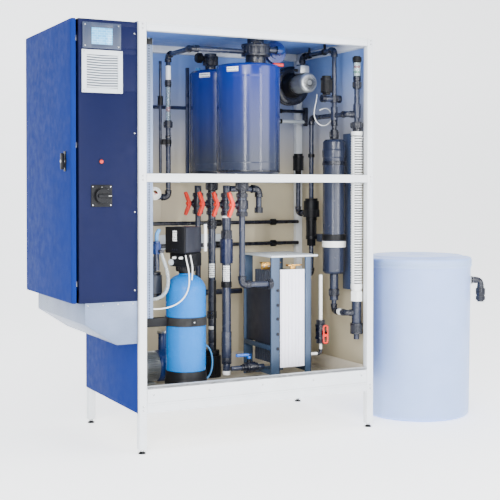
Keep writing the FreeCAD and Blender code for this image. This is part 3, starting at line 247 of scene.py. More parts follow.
@dataclass(frozen=True)
class Finish:
    """One surface finish: a colour that varies a little, with a fine relief."""

    name: str
    base: tuple[float, float, float, float]
    roughness: float = 0.45
    metallic: float = 0.0
    variation: float = 0.10
    grain: float = 900.0
    relief: float = 0.12
    soil: float = 0.0
    shine: float = 0.5
    glow: float = 0.0

    def shades(self) -> tuple[tuple, tuple]:
        """The darker and the lighter shade of the colour.

        Returns:
            The two colours.
        """
        low = tuple(c * (1 - self.variation) for c in self.base[:3])
        high = tuple(min(1.0, c * (1 + self.variation)) for c in self.base[:3])
        return (*low, 1.0), (*high, 1.0)

    def dress(self, nodes: Nodes) -> None:
        """Adds this finish's nodes.

        Args:
            nodes: the material's nodes.
        """
        low, high = self.shades()
        clouds = nodes.noise(7.0, 5.0)
        mixed = nodes.mix(nodes.spread(clouds, 0.0, 1.0), low, high)
        if self.soil:
            dust = nodes.spread(nodes.noise(38.0, 6.0), 0.0, self.soil)
            mixed = nodes.mix(dust, mixed, (0.25, 0.22, 0.18, 1.0))
        nodes.colour(mixed)
        rough = nodes.spread(nodes.noise(26.0, 4.0), self.roughness * 0.82, self.roughness * 1.15)
        nodes.tree.links.new(rough, nodes.shader.inputs["Roughness"])
        nodes.relief(nodes.noise(self.grain, 2.0), self.relief)

    def material(self) -> bpy.types.Material:
        """The finish as a material, made once.

        Returns:
            The material.
        """
        name = "look_" + self.name
        found = bpy.data.materials.get(name)
        if found:
            return found
        made = bpy.data.materials.new(name)
        nodes = Nodes(made)
        nodes.shader.inputs["Base Color"].default_value = self.base
        nodes.shader.inputs["Metallic"].default_value = self.metallic
        nodes.shader.inputs["Roughness"].default_value = self.roughness
        nodes.shader.inputs["Specular IOR Level"].default_value = self.shine
        nodes.shader.inputs["Emission Color"].default_value = self.base
        nodes.shader.inputs["Emission Strength"].default_value = self.glow
        made.diffuse_color = self.base
        self.dress(nodes)
        return made


@dataclass(frozen=True)
class Brushed(Finish):
    """Metal brushed along one direction."""

    stretch: tuple[float, float, float] = (1.0, 1.0, 60.0)

    def dress(self, nodes: Nodes) -> None:
        """Adds stretched scratches to the plain finish.

        Args:
            nodes: the material's nodes.
        """
        super().dress(nodes)
        mapping = nodes.add("ShaderNodeMapping", {"Vector": nodes.place})
        mapping.inputs["Scale"].default_value = self.stretch
        lines = nodes.noise(55.0, 4.0, mapping.outputs["Vector"])
        rough = nodes.spread(lines, self.roughness * 0.7, self.roughness * 1.35)
        nodes.tree.links.new(rough, nodes.shader.inputs["Roughness"])
        nodes.relief(lines, self.relief)


@dataclass(frozen=True)
class PaintedLightByHeight(Finish):
    """Sheet metal whose colour changes from one to another with height; the upper colour is painted
    light, a bluish cast from above.
    """

    upper: tuple[float, float, float, float] = (0.3, 0.4, 0.6, 1.0)
    cast_from: float = 1.35
    cast_to: float = 2.0

    def dress(self, nodes: Nodes) -> None:
        """Adds the painted light over the plain finish: the colour turns to the upper one with height.

        Args:
            nodes: the material's nodes.
        """
        super().dress(nodes)
        height = nodes.add("ShaderNodeSeparateXYZ", {"Vector": nodes.place}).outputs["Z"]
        made = nodes.add("ShaderNodeMapRange", {"Value": height})
        made.inputs["From Min"].default_value = self.cast_from
        made.inputs["From Max"].default_value = self.cast_to
        low, high = self.shades()
        ground = nodes.mix(nodes.spread(nodes.noise(5.0, 4.0), 0.0, 1.0), low, high)
        nodes.colour(nodes.mix(made.outputs["Result"], ground, self.upper))


@dataclass(frozen=True)
class Clear(Finish):
    """Clear or milky plastic and glass."""

    pass_through: float = 0.9
    index: float = 1.45

    def dress(self, nodes: Nodes) -> None:
        """Lets light through the plain finish.

        Args:
            nodes: the material's nodes.
        """
        super().dress(nodes)
        nodes.shader.inputs["Transmission Weight"].default_value = self.pass_through
        nodes.shader.inputs["IOR"].default_value = self.index


@dataclass(frozen=True)
class Milky(Finish):
    """Thick pale plastic that light soaks into."""

    depth: float = 0.02
    amount: float = 0.6

    def dress(self, nodes: Nodes) -> None:
        """Adds light under the surface of the plain finish.

        Args:
            nodes: the material's nodes.
        """
        super().dress(nodes)
        nodes.shader.inputs["Subsurface Weight"].default_value = self.amount
        nodes.shader.inputs["Subsurface Scale"].default_value = self.depth
        nodes.shader.inputs["Subsurface Radius"].default_value = (0.8, 0.9, 1.0)


@dataclass(frozen=True)
class Printed(Finish):
    """A label: rows of dark marks on a pale ground, with no real words."""

    ink: tuple[float, float, float, float] = (0.03, 0.04, 0.06, 1.0)
    rows: float = 90.0

    def dress(self, nodes: Nodes) -> None:
        """Adds the rows of marks.

        Args:
            nodes: the material's nodes.
        """
        super().dress(nodes)
        parts = nodes.add("ShaderNodeSeparateXYZ", {"Vector": nodes.place})
        scaled = nodes.add("ShaderNodeMath", {0: parts.outputs["Z"]})
        scaled.operation = "MULTIPLY"
        scaled.inputs[1].default_value = self.rows
        row = nodes.add("ShaderNodeMath", {0: scaled.outputs[0]})
        row.operation = "FRACT"
        in_row = nodes.add("ShaderNodeMath", {0: row.outputs[0]})
        in_row.operation = "LESS_THAN"
        in_row.inputs[1].default_value = 0.42
        marks = nodes.add("ShaderNodeMath", {0: nodes.noise(330.0, 1.0)})
        marks.operation = "GREATER_THAN"
        marks.inputs[1].default_value = 0.47
        both = nodes.add("ShaderNodeMath", {0: in_row.outputs[0], 1: marks.outputs[0]})
        both.operation = "MULTIPLY"
        nodes.colour(nodes.mix(both.outputs[0], self.base, self.ink))


@dataclass(frozen=True)
class Lit(Finish):
    """A lit display with plain blocks on it."""

    def dress(self, nodes: Nodes) -> None:
        """Adds the blocks and the glow.

        Args:
            nodes: the material's nodes.
        """
        super().dress(nodes)
        mapping = nodes.add("ShaderNodeMapping", {"Vector": nodes.place})
        mapping.inputs["Rotation"].default_value = (math.pi / 2, 0.0, 0.0)
        brick = nodes.add("ShaderNodeTexBrick", {"Vector": mapping.outputs["Vector"]}, scale=22.0)
        brick.inputs["Color1"].default_value = paint(70, 150, 205)
        brick.inputs["Color2"].default_value = paint(90, 165, 215)
        brick.inputs["Mortar"].default_value = paint(130, 195, 228)
        nodes.colour(brick.outputs["Color"])
        nodes.tree.links.new(brick.outputs["Color"], nodes.shader.inputs["Emission Color"])


FRAME_PAINT = Finish("frame_paint", paint(222, 226, 230), 0.38, 0.0, 0.05, 1200.0, 0.10)
OUTSIDE_BLUE = Finish("outside_blue", paint(22, 42, 106), 0.5, 0.0, 0.05, 1400.0, 0.05, shine=0.01)
DOOR_BLUE = Finish("door_blue", paint(22, 42, 106), 0.5, 0.0, 0.05, 1400.0, 0.05, shine=0.01)
WALL_NAVY = Finish("wall_navy", paint(8, 15, 52), 0.5, 0.0, 0.05, 1400.0, 0.05, shine=0.12)
# Pale inside paint; the bluish colour towards the top is painted light.
INSIDE_WALL = PaintedLightByHeight("inside_wall", paint(200, 189, 162), 0.5, 0.0, 0.04, 1200.0, 0.10,
        upper=paint(118, 152, 214))
# The ceiling's light blue is painted light, the same bluish cast as on the upper walls.
INSIDE_TOP = Finish("inside_top", paint(96, 134, 206), 0.45, 0.0, 0.06, 1200.0, 0.10)
GALVANISED = Brushed("galvanised_sheet", paint(112, 126, 152), 0.36, 0.7, 0.14, 500.0, 0.10)
STEEL = Brushed("bright_steel", paint(190, 192, 194), 0.28, 1.0, 0.10, 700.0, 0.08)
CAST = Finish("cast_aluminium", paint(186, 190, 192), 0.42, 0.85, 0.14, 420.0, 0.35, 0.10)
BRASS = Brushed("worn_brass", paint(196, 150, 78), 0.30, 1.0, 0.16, 600.0, 0.10)
GREY_PVC = Finish("grey_pipe", paint(36, 42, 60), 0.26, 0.0, 0.12, 800.0, 0.06)
COLUMN = Finish("column_grey", paint(34, 40, 58), 0.24, 0.0, 0.12, 300.0, 0.06)
# Dark tank plastic; the change to strong blue towards the top is painted light.
TANK_GREY = PaintedLightByHeight("tank_plastic", paint(38, 44, 62), 0.2, 0.0, 0.10, 260.0, 0.05,
        upper=paint(10, 34, 112), cast_from=1.45, cast_to=1.9)
DARK_PVC = Finish("dark_fitting", paint(16, 20, 34), 0.28, 0.0, 0.14, 800.0, 0.08)
VALVE_NAVY = Finish("valve_body", paint(10, 14, 30), 0.28, 0.0, 0.16, 800.0, 0.08)
STAY_BLUE = Finish("stay_blue", paint(24, 32, 58), 0.30, 0.0, 0.14, 800.0, 0.08)
SLEEVE = Finish("sleeve_blue", paint(22, 30, 60), 0.26, 0.0, 0.12, 800.0, 0.06)
CHECK_BLUE = Finish("check_disc", paint(12, 38, 110), 0.30, 0.0, 0.12, 800.0, 0.08)
LEVER_BLUE = Finish("lever_blue", paint(4, 84, 178), 0.30, 0.0, 0.10, 800.0, 0.08)
SLATE = Finish("slate_trunking", paint(52, 64, 92), 0.42, 0.0, 0.08, 900.0, 0.10)
PROFILE = Brushed("cell_profile", paint(56, 74, 98), 0.36, 0.35, 0.12, 700.0, 0.06)
COVER = Finish("cover_grey", paint(34, 36, 46), 0.40, 0.0, 0.10, 900.0, 0.10, shine=0.25)
END_WHITE = Finish("end_plate_white", paint(240, 240, 252), 0.34, 0.0, 0.03, 900.0, 0.05)
BEZEL = Finish("bezel_slate", paint(40, 52, 76), 0.38, 0.0, 0.08, 900.0, 0.10)
BLACK = Finish("black_plastic", paint(13, 14, 18), 0.42, 0.0, 0.20, 1000.0, 0.16, shine=0.2)
RUBBER = Finish("black_rubber", paint(20, 20, 22), 0.75, 0.0, 0.2, 700.0, 0.30)
WHITE = Finish("white_plastic", paint(234, 236, 234), 0.40, 0.0, 0.04, 900.0, 0.10)
PALE_GREY = Finish("pale_grey_plastic", paint(196, 204, 210), 0.42, 0.0, 0.06, 900.0, 0.14)
MID_GREY = Finish("grey_panel", paint(58, 64, 78), 0.42, 0.0, 0.08, 900.0, 0.12)
SOFT_BLUE = Finish("vessel_blue", paint(0, 108, 190), 0.26, 0.0, 0.06, 500.0, 0.05, shine=0.15)
VALVE_BLUE = Finish("fitting_blue", paint(16, 46, 104), 0.30, 0.0, 0.12, 800.0, 0.08)
SKY_BLUE = Finish("pale_blue_plastic", paint(60, 130, 190), 0.36, 0.0, 0.10, 800.0, 0.10)
ORANGE = Finish("orange_plastic", paint(214, 34, 4), 0.32, 0.0, 0.10, 800.0, 0.10)
RED = Finish("red_plastic", paint(190, 14, 8), 0.34, 0.0, 0.10, 800.0, 0.10)
GREEN = Finish("green_plastic", paint(52, 140, 84), 0.38, 0.0, 0.10, 800.0, 0.10)
GLASS = Clear("clear_tube", paint(222, 236, 240), 0.08, 0.0, 0.03, 300.0, 0.03)
HOSE = Clear("clear_hose", paint(206, 214, 218), 0.26, 0.0, 0.05, 300.0, 0.06, pass_through=0.6)
TRAY = Finish("tray_plastic", paint(196, 188, 172), 0.36, 0.0, 0.07, 700.0, 0.12, 0.08)
BRINE = Milky("brine_plastic", paint(158, 184, 246), 0.36, 0.0, 0.03, 500.0, 0.06)
LID = Milky("lid_plastic", paint(160, 188, 248), 0.36, 0.0, 0.03, 500.0, 0.10)
LABEL = Printed("printed_label", paint(238, 240, 240), 0.5, 0.0, 0.03, 900.0, 0.04)
SCREEN = Lit("lit_screen", paint(150, 205, 228), 0.18, 0.0, 0.04, 900.0, 0.02, glow=0.35)
WHITE_CABLE = Finish("white_cable", paint(228, 230, 228), 0.5, 0.0, 0.05, 900.0, 0.12)


# ------------------------------------------------------------------------------------- meshes


def looking(base: Vector, along: Along | Vector, up: Vector = UP) -> Matrix:
    """A place whose local Z runs along a direction and whose local Y stays near another.

    Args:
        base: the origin, in metres.
        along: the direction of local Z.
        up: what local Y follows.

    Returns:
        The matrix from local to row frame.
    """
    z = Vector(along.value if isinstance(along, Along) else along).normalized()
    if abs(z.dot(up)) > 0.999:
        up = Vector((0, 1, 0))
    x = up.cross(z).normalized()
    matrix = Matrix((x, z.cross(x), z)).transposed().to_4x4()
    matrix.translation = base
    return matrix


def soften(profile: list[Vector], amount: float) -> list[Vector]:
    """Rounds the inner corners of an open line of points.

    Args:
        profile: the points.
        amount: how far from each corner the rounding starts.

    Returns:
        The longer list of points.
    """
    result = [profile[0]]
    for before, corner, after in zip(profile, profile[1:], profile[2:]):
        back = before - corner
        ahead = after - corner
        reach = min(amount, 0.45 * back.length, 0.45 * ahead.length)
        straight = back.length < 1e-7 or ahead.length < 1e-7 or back.angle(ahead) > 3.05
        if reach < 1e-6 or straight:
            result.append(corner)
            continue
        start = corner + back.normalized() * reach
        stop = corner + ahead.normalized() * reach
        result += [start, (start + corner * 2 + stop) / 4, stop]
    result.append(profile[-1])
    return result


class Solid:
    """Gathers rounded boxes, turned shapes, pipes and cut-out shapes into one mesh."""

    def __init__(self, name: str) -> None:
        """Starts an empty mesh.

        Args:
            name: the finished object's name.
        """
        self.name = name
        self.points: list[Vector] = []
        self.faces: list[list[int]] = []
        self.slots: list[int] = []
        self.finishes: list[Finish] = []

    def take(self, piece: bmesh.types.BMesh, matrix: Matrix, finish: Finish) -> None:
        """Adds one closed piece and frees it.

        Args:
            piece: the piece, in its own place.
            matrix: the way from its own place to the row frame.
            finish: the finish of all its faces.
        """
        if finish not in self.finishes:
            self.finishes.append(finish)
        bmesh.ops.recalc_face_normals(piece, faces=piece.faces)
        piece.verts.index_update()
        start = len(self.points)
        self.points += [matrix @ v.co for v in piece.verts]
        self.faces += [[start + v.index for v in face.verts] for face in piece.faces]
        self.slots += [self.finishes.index(finish)] * len(piece.faces)
        piece.free()

    def repeat(self, item: "Solid", count: int, matrix: Matrix, step: tuple = (0, 0, 0),
            turn: float = 0.0, wobble: float = 0.0) -> None:
        """Adds a row of one item, in the item's finish.

        Args:
            item: the item, about its own origin in metres, with one finish.
            count: how many there are.
            matrix: the row's place.
            step: the way from one to the next, in millimetres.
            turn: how far each is turned about local Z from the one before, in radians.
            wobble: the largest random turn of each about local Z, in radians.
        """
        mesh = REPEATER.row(item, count, step, turn, wobble)
        piece = bmesh.new()
        piece.from_mesh(mesh)
        bpy.data.meshes.remove(mesh)
        self.take(piece, matrix, item.finishes[0])

    def block(self, low: tuple, high: tuple, finish: Finish, soft: float = 1.0,
            matrix: Matrix | None = None) -> None:
        """Adds a box with rounded edges.

        Args:
            low: its lowest corner, in millimetres.
            high: its highest corner, in millimetres.
            finish: its finish.
            soft: the edge rounding, in millimetres.
            matrix: its place; the corners are then local. Without one they are the machine's.
        """
        if matrix is None:
            matrix = stand(0, 0, 0)
        lengths = [(b - a) / 1000 for a, b in zip(low, high)]
        middle = Vector([(a + b) / 2000 for a, b in zip(low, high)])
        piece = bmesh.new()
        bmesh.ops.create_cube(piece, size=1.0, matrix=Matrix.Diagonal((*lengths, 1.0)))
        amount = min(soft / 1000, 0.3 * min(lengths))
        bmesh.ops.bevel(piece, geom=list(piece.edges), offset=amount, segments=2, profile=0.5,
                affect="EDGES", clamp_overlap=True)
        self.take(piece, matrix @ Matrix.Translation(middle), finish)

    def turned(self, profile: list[tuple], matrix: Matrix, finish: Finish, soft: float = 1.0,
            turns: int = 0, closed: bool = False) -> None:
        """Adds a shape turned about its local Z axis.

        Args:
            profile: (radius, height) points, in millimetres, from axis to axis.
            matrix: its place.
            finish: its finish.
            soft: the corner rounding, in millimetres.
            turns: how many flats go round it; none picks a number for its size.
            closed: True if the profile is a closed ring that doesn't meet the axis.
        """
        line = [Vector((r / 1000, h / 1000)) for r, h in profile]
        if closed:
            line = line + [line[0]]
        line = soften(line, soft / 1000)
        widest = max(p.x for p in line) * 1000
        turns = turns or int(min(96, 20 + widest * 0.45))
        piece = bmesh.new()
        rings = []
        for point in line:
            if point.x < 1e-6:
                rings.append([piece.verts.new((0, 0, point.y))])
                continue
            angles = [2 * math.pi * k / turns for k in range(turns)]
            rings.append([piece.verts.new((point.x * math.cos(a), point.x * math.sin(a), point.y))
                    for a in angles])
        if closed:
            for vertex in rings.pop():
                piece.verts.remove(vertex)
            rings.append(rings[0])
        for lower, higher in zip(rings, rings[1:]):
            for k in range(turns):
                corners = [lower[k % len(lower)], lower[(k + 1) % len(lower)],
                        higher[(k + 1) % len(higher)], higher[k % len(higher)]]
                corners = list(dict.fromkeys(corners))
                if len(corners) > 2:
                    piece.faces.new(corners)
        self.take(piece, matrix, finish)

    def ring(self, inner: float, outer: float, length: float, matrix: Matrix, finish: Finish,
            soft: float = 1.0, turns: int = 0) -> None:
        """Adds a round sleeve with rounded rims.

        Args:
            inner: its hole's radius, in millimetres.
            outer: its radius, in millimetres.
            length: along local Z, in millimetres.
            matrix: its place.
            finish: its finish.
            soft: the corner rounding, in millimetres.
            turns: how many flats go round it; none picks a number for its size.
        """
        profile = [(inner, 0), (outer, 0), (outer, length), (inner, length)]
        self.turned(profile, matrix, finish, soft, turns, inner > 0)

    def disc(self, radius: float, length: float, matrix: Matrix, finish: Finish, soft: float = 1.0,
            turns: int = 0) -> None:
        """Adds a round bar or disc with rounded rims.

        Args:
            radius: its radius, in millimetres.
            length: along local Z, in millimetres.
            matrix: its place.
            finish: its finish.
            soft: the corner rounding, in millimetres.
            turns: how many flats go round it; none picks a number for its size.
        """
        self.ring(0, radius, length, matrix, finish, soft, turns)

    def shape(self, outline: list[tuple], thickness: float, matrix: Matrix, finish: Finish,
            soft: float = 0.8) -> None:
        """Adds a flat outline with a thickness and rounded edges.

        Args:
            outline: (x, y) points, in millimetres.
            thickness: along local Z, in millimetres.
            matrix: its place.
            finish: its finish.
            soft: the edge rounding, in millimetres.
        """
        piece = bmesh.new()
        face = piece.faces.new([piece.verts.new((x / 1000, y / 1000, 0)) for x, y in outline])
        grown = bmesh.ops.extrude_face_region(piece, geom=[face])
        moved = [g for g in grown["geom"] if isinstance(g, bmesh.types.BMVert)]
        bmesh.ops.translate(piece, verts=moved, vec=(0, 0, thickness / 1000))
        if soft:
            bmesh.ops.bevel(piece, geom=list(piece.edges), offset=soft / 1000, segments=2, profile=0.5,
                    affect="EDGES", clamp_overlap=True)
        self.take(piece, matrix, finish)

    def fitting(self, steps: list[tuple], base: Vector, along: Along | Vector, finish: Finish) -> None:
        """Adds lengths of round, ribbed or six-sided fitting one after another.

        Args:
            steps: (radius, length) in millimetres, then an edge that isn't plain and a finish
                that isn't the usual one, where there are such.
            base: where the first length starts, in metres.
            along: the way it runs.
            finish: the finish of the lengths that name none.
        """
        matrix = looking(base, along)
        reached = 0.0
        for radius, length, *given in steps:
            edge = next((g for g in given if isinstance(g, Edge)), Edge.PLAIN)
            own = next((g for g in given if isinstance(g, Finish)), finish)
            place = matrix @ Matrix.Translation((0, 0, reached / 1000))
            if edge is Edge.PLAIN:
                self.disc(radius, length, place, own, min(1.2, length * 0.2))
            elif edge is Edge.HEX:
                corners = [(radius * math.cos(k * math.pi / 3), radius * math.sin(k * math.pi / 3))
                        for k in range(6)]
                self.shape(corners, length, place, own, 1.4)
            else:
                self.shape(ribbed_outline(radius, edge.value), length, place, own, 0.0)
                lip = [(0, -0.05), (radius - 3, -0.05), (radius - 1.6, 1.6), (radius - 1.6, length - 1.6),
                        (radius - 3, length + 0.05), (0, length + 0.05)]
                self.turned(lip, place, own, 0.6)
            reached += length

    def route(self, points: list[Vector], radius: float, finish: Finish,
            fitting: Finish | None = None) -> None:
        """Adds a pipe along a square route with a moulded bend at each corner.

        Args:
            points: the route's corners, in metres.
            radius: the pipe's radius, in millimetres.
            finish: the pipe's finish.
            fitting: the bends' finish, if it is another.
        """
        bend = 1.5 * radius / 1000
        socket = 1.3 * radius / 1000
        start = points[0]
        for count in range(1, len(points)):
            heading = (points[count] - points[count - 1]).normalized()
            stop = points[count]
            if count < len(points) - 1:
                leaving = (points[count + 1] - points[count]).normalized()
                reach = bend + socket
                stop = points[count] - heading * reach
                after = points[count] + leaving * reach
                arc = [points[count] - heading * bend, points[count], points[count] + leaving * bend]
                self.sweep(arc, radius * 1.22, fitting or finish, bend * 1000)
                for base, way in ((stop, heading), (after, -leaving)):
                    self.fitting([(radius * 1.36, socket * 1000)], base, way, fitting or finish)
                    self.fitting([(radius * 1.44, radius * 0.3)], base, way, fitting or finish)
            if (stop - start).dot(heading) > 0.0005:
                self.fitting([(radius, (stop - start).length * 1000)], start, heading, finish)
            if count < len(points) - 1:
                start = after

    def sweep(self, points: list[Vector], radius: float, finish: Finish, bend: float = 0.0) -> None:
        """Adds a round bar along a line whose corners are arcs.

        Args:
            points: the line's corners, in metres.
            radius: the bar's radius, in millimetres.
            finish: its finish.
            bend: the arcs' radius, in millimetres.
        """
        line = [points[0]]
        for before, corner, after in zip(points, points[1:], points[2:]):
            back = (before - corner).normalized()
            ahead = (after - corner).normalized()
            half = back.angle(ahead) / 2
            reach = min(bend / 1000 / math.tan(half), 0.499 * (before - corner).length * 2,
                    0.499 * (after - corner).length * 2)
            middle = corner + (back + ahead).normalized() * (reach / math.cos(half))
            first = corner + back * reach - middle
            last = corner + ahead * reach - middle
            turn = first.rotation_difference(last)
            for step in range(9):
                spin = Quaternion().slerp(turn, step / 8)
                line.append(middle + spin @ first)
        line.append(points[-1])
        clean = [line[0]]
        clean += [b for a, b in zip(line, line[1:]) if (b - a).length > 1e-5]
        turns = int(min(40, 14 + radius * 0.6))
        piece = bmesh.new()
        side = (clean[1] - clean[0]).orthogonal().normalized()
        rings = []
        for index, point in enumerate(clean):
            ahead = clean[min(index + 1, len(clean) - 1)] - clean[max(index - 1, 0)]
            ahead.normalize()
            side = (side - ahead * side.dot(ahead)).normalized()
            other = ahead.cross(side)
            ring = []
            for k in range(turns):
                angle = 2 * math.pi * k / turns
                offset = side * math.cos(angle) + other * math.sin(angle)
                ring.append(piece.verts.new(point + offset * (radius / 1000)))
            rings.append(ring)
        for lower, higher in zip(rings, rings[1:]):
            for k in range(turns):
                after = (k + 1) % turns
                piece.faces.new((lower[k], lower[after], higher[after], higher[k]))
        piece.faces.new(rings[0])
        piece.faces.new(rings[-1])
        self.take(piece, Matrix.Identity(4), finish)

    def make(self) -> bpy.types.Object:
        """Ends the mesh.

        Returns:
            The object, linked to the scene, at the origin.
        """
        mesh = bpy.data.meshes.new(self.name)
        mesh.from_pydata([tuple(p) for p in self.points], [], self.faces)
        for finish in self.finishes:
            mesh.materials.append(finish.material())
        mesh.polygons.foreach_set("material_index", self.slots)
        mesh.polygons.foreach_set("use_smooth", [True] * len(mesh.polygons))
        mesh.set_sharp_from_angle(angle=math.radians(38))
        mesh.validate()
        mesh.update()
        made = bpy.data.objects.new(self.name, mesh)
        bpy.context.scene.collection.objects.link(made)
        return made


def ribbed_outline(radius: float, ribs: int) -> list[tuple]:
    """The outline of a union nut with grip ribs.

    Args:
        radius: over the ribs, in millimetres.
        ribs: how many there are.

    Returns:
        (x, y) points, in millimetres.
    """
    outline = []
    for k in range(ribs):
        for share, depth in ((0.0, 0.0), (0.36, 0.0), (0.5, 1.8), (0.86, 1.8)):
            angle = 2 * math.pi * (k + share) / ribs
            outline.append(((radius - depth) * math.cos(angle), (radius - depth) * math.sin(angle)))
    return outline


class Repeater:
    """A Geometry Nodes tree that repeats one item in a row, round an axis, or both."""

    def __init__(self) -> None:
        """Builds the tree once."""
        tree = bpy.data.node_groups.new("repeat_item", "GeometryNodeTree")
        self.tree = tree
        tree.interface.new_socket("Geometry", in_out="OUTPUT", socket_type="NodeSocketGeometry")
        self.sockets = {}
        for name, kind in (("Item", "Object"), ("Count", "Int"), ("Step", "Vector"), ("Turn", "Vector"),
                ("Wobble", "Vector"), ("Seed", "Int"), ("Finish", "Material")):
            made = tree.interface.new_socket(name, in_out="INPUT", socket_type="NodeSocket" + kind)
            self.sockets[name] = made.identifier
        given = tree.nodes.new("NodeGroupInput").outputs
        line = tree.nodes.new("GeometryNodeMeshLine")
        line.mode = "OFFSET"
        item = tree.nodes.new("GeometryNodeObjectInfo")
        item.inputs["As Instance"].default_value = True
        index = tree.nodes.new("GeometryNodeInputIndex")
        turned = tree.nodes.new("ShaderNodeVectorMath")
        turned.operation = "SCALE"
        chance = tree.nodes.new("FunctionNodeRandomValue")
        chance.data_type = "FLOAT_VECTOR"
        chance.inputs["Min"].default_value = (0, 0, 0)
        summed = tree.nodes.new("ShaderNodeVectorMath")
        angle = tree.nodes.new("FunctionNodeEulerToRotation")
        placed = tree.nodes.new("GeometryNodeInstanceOnPoints")
        real = tree.nodes.new("GeometryNodeRealizeInstances")
        coated = tree.nodes.new("GeometryNodeSetMaterial")
        result = tree.nodes.new("NodeGroupOutput")
        join = tree.links.new
        join(given["Count"], line.inputs["Count"])
        join(given["Step"], line.inputs["Offset"])
        join(given["Item"], item.inputs["Object"])
        join(given["Turn"], turned.inputs[0])
        join(index.outputs[0], turned.inputs["Scale"])
        join(given["Wobble"], chance.inputs["Max"])
        join(given["Seed"], chance.inputs["Seed"])
        join(turned.outputs[0], summed.inputs[0])
        join(chance.outputs[0], summed.inputs[1])
        join(summed.outputs[0], angle.inputs[0])
        join(line.outputs["Mesh"], placed.inputs["Points"])
        join(item.outputs["Geometry"], placed.inputs["Instance"])
        join(angle.outputs[0], placed.inputs["Rotation"])
        join(placed.outputs["Instances"], real.inputs["Geometry"])
        join(real.outputs["Geometry"], coated.inputs["Geometry"])
        join(given["Finish"], coated.inputs["Material"])
        join(coated.outputs["Geometry"], result.inputs["Geometry"])

    def row(self, item: Solid, count: int, step: tuple, turn: float, wobble: float) -> bpy.types.Mesh:
        """Repeats one item and gives the result as a plain mesh.

        Args:
            item: the item, about its own origin in metres, with one finish.
            count: how many there are.
            step: the way from one to the next, in millimetres.
            turn: how far each is turned about local Z from the one before, in radians.
            wobble: the largest random turn of each about local Z, in radians.

        Returns:
            The plain mesh, in the item's place.
        """
        finish = item.finishes[0]
        model = item.make()
        holder = bpy.data.objects.new(item.name + "_row", bpy.data.meshes.new("row"))
        bpy.context.scene.collection.objects.link(holder)
        modifier = holder.modifiers.new("repeat", "NODES")
        modifier.node_group = self.tree
        values = {"Item": model, "Count": count, "Turn": (0, 0, turn), "Wobble": (0, 0, wobble),
                "Seed": 7, "Step": [s / 1000 for s in step], "Finish": finish.material()}
        for name, value in values.items():
            modifier[self.sockets[name]] = value
        bpy.context.view_layer.update()
        graph = bpy.context.evaluated_depsgraph_get()
        mesh = bpy.data.meshes.new_from_object(holder.evaluated_get(graph), depsgraph=graph)
        for leftover in (holder, model):
            data = leftover.data
            bpy.data.objects.remove(leftover)
            bpy.data.meshes.remove(data)
        return mesh


REPEATER = Repeater()
ORIGIN = Matrix.Identity(4)


def screw(radius: float = 5.0) -> Solid:
    """A pan head screw about its own origin, pointing along local Z.

    Args:
        radius: the head's radius, in millimetres.

    Returns:
        The screw head.
    """
    head = Solid("screw_head")
    head.turned([(0, -1), (radius, -1), (radius, radius * 0.16), (radius * 0.8, radius * 0.5),
            (radius * 0.42, radius * 0.62), (radius * 0.36, radius * 0.3), (0, radius * 0.3)], ORIGIN,
            STEEL, 0.5, 18)
    return head


def screws(solid: Solid, first: Vector, along: Along, count: int = 1, step: tuple = (0, 0, 0),
        radius: float = 5.0) -> None:
    """Adds a row of screw heads to a solid.

    Args:
        solid: what they are added to.
        first: the first one's place, in metres.
        along: the way the heads look.
        count: how many there are.
        step: the way from one to the next, in millimetres.
        radius: the heads' radius, in millimetres.
    """
    matrix = looking(first, along)
    local = matrix.to_3x3().inverted() @ Vector(step)
    solid.repeat(screw(radius), count, matrix, tuple(local), wobble=ANY_TURN)


class Assembly:
    """A group of pieces that are made and placed together."""

    def keep(self, solid: Solid, body: Body, slot: str, *nodes: str) -> None:
        """Ends a solid, fixes it to its body and hides the CAD nodes it stands for.

        Args:
            solid: the gathered mesh.
            body: what it moves with.
            slot: the record's material slot; it is not used.
            nodes: the CAD nodes that it stands for.
        """
        made = solid.make()
        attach(made, body.value)
        if nodes:
            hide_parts(*nodes)
        log.info("%s: %d faces, moves with %s", made.name, len(made.data.polygons), body.value)


# --------------------------------------------------------------------------- frame and casing


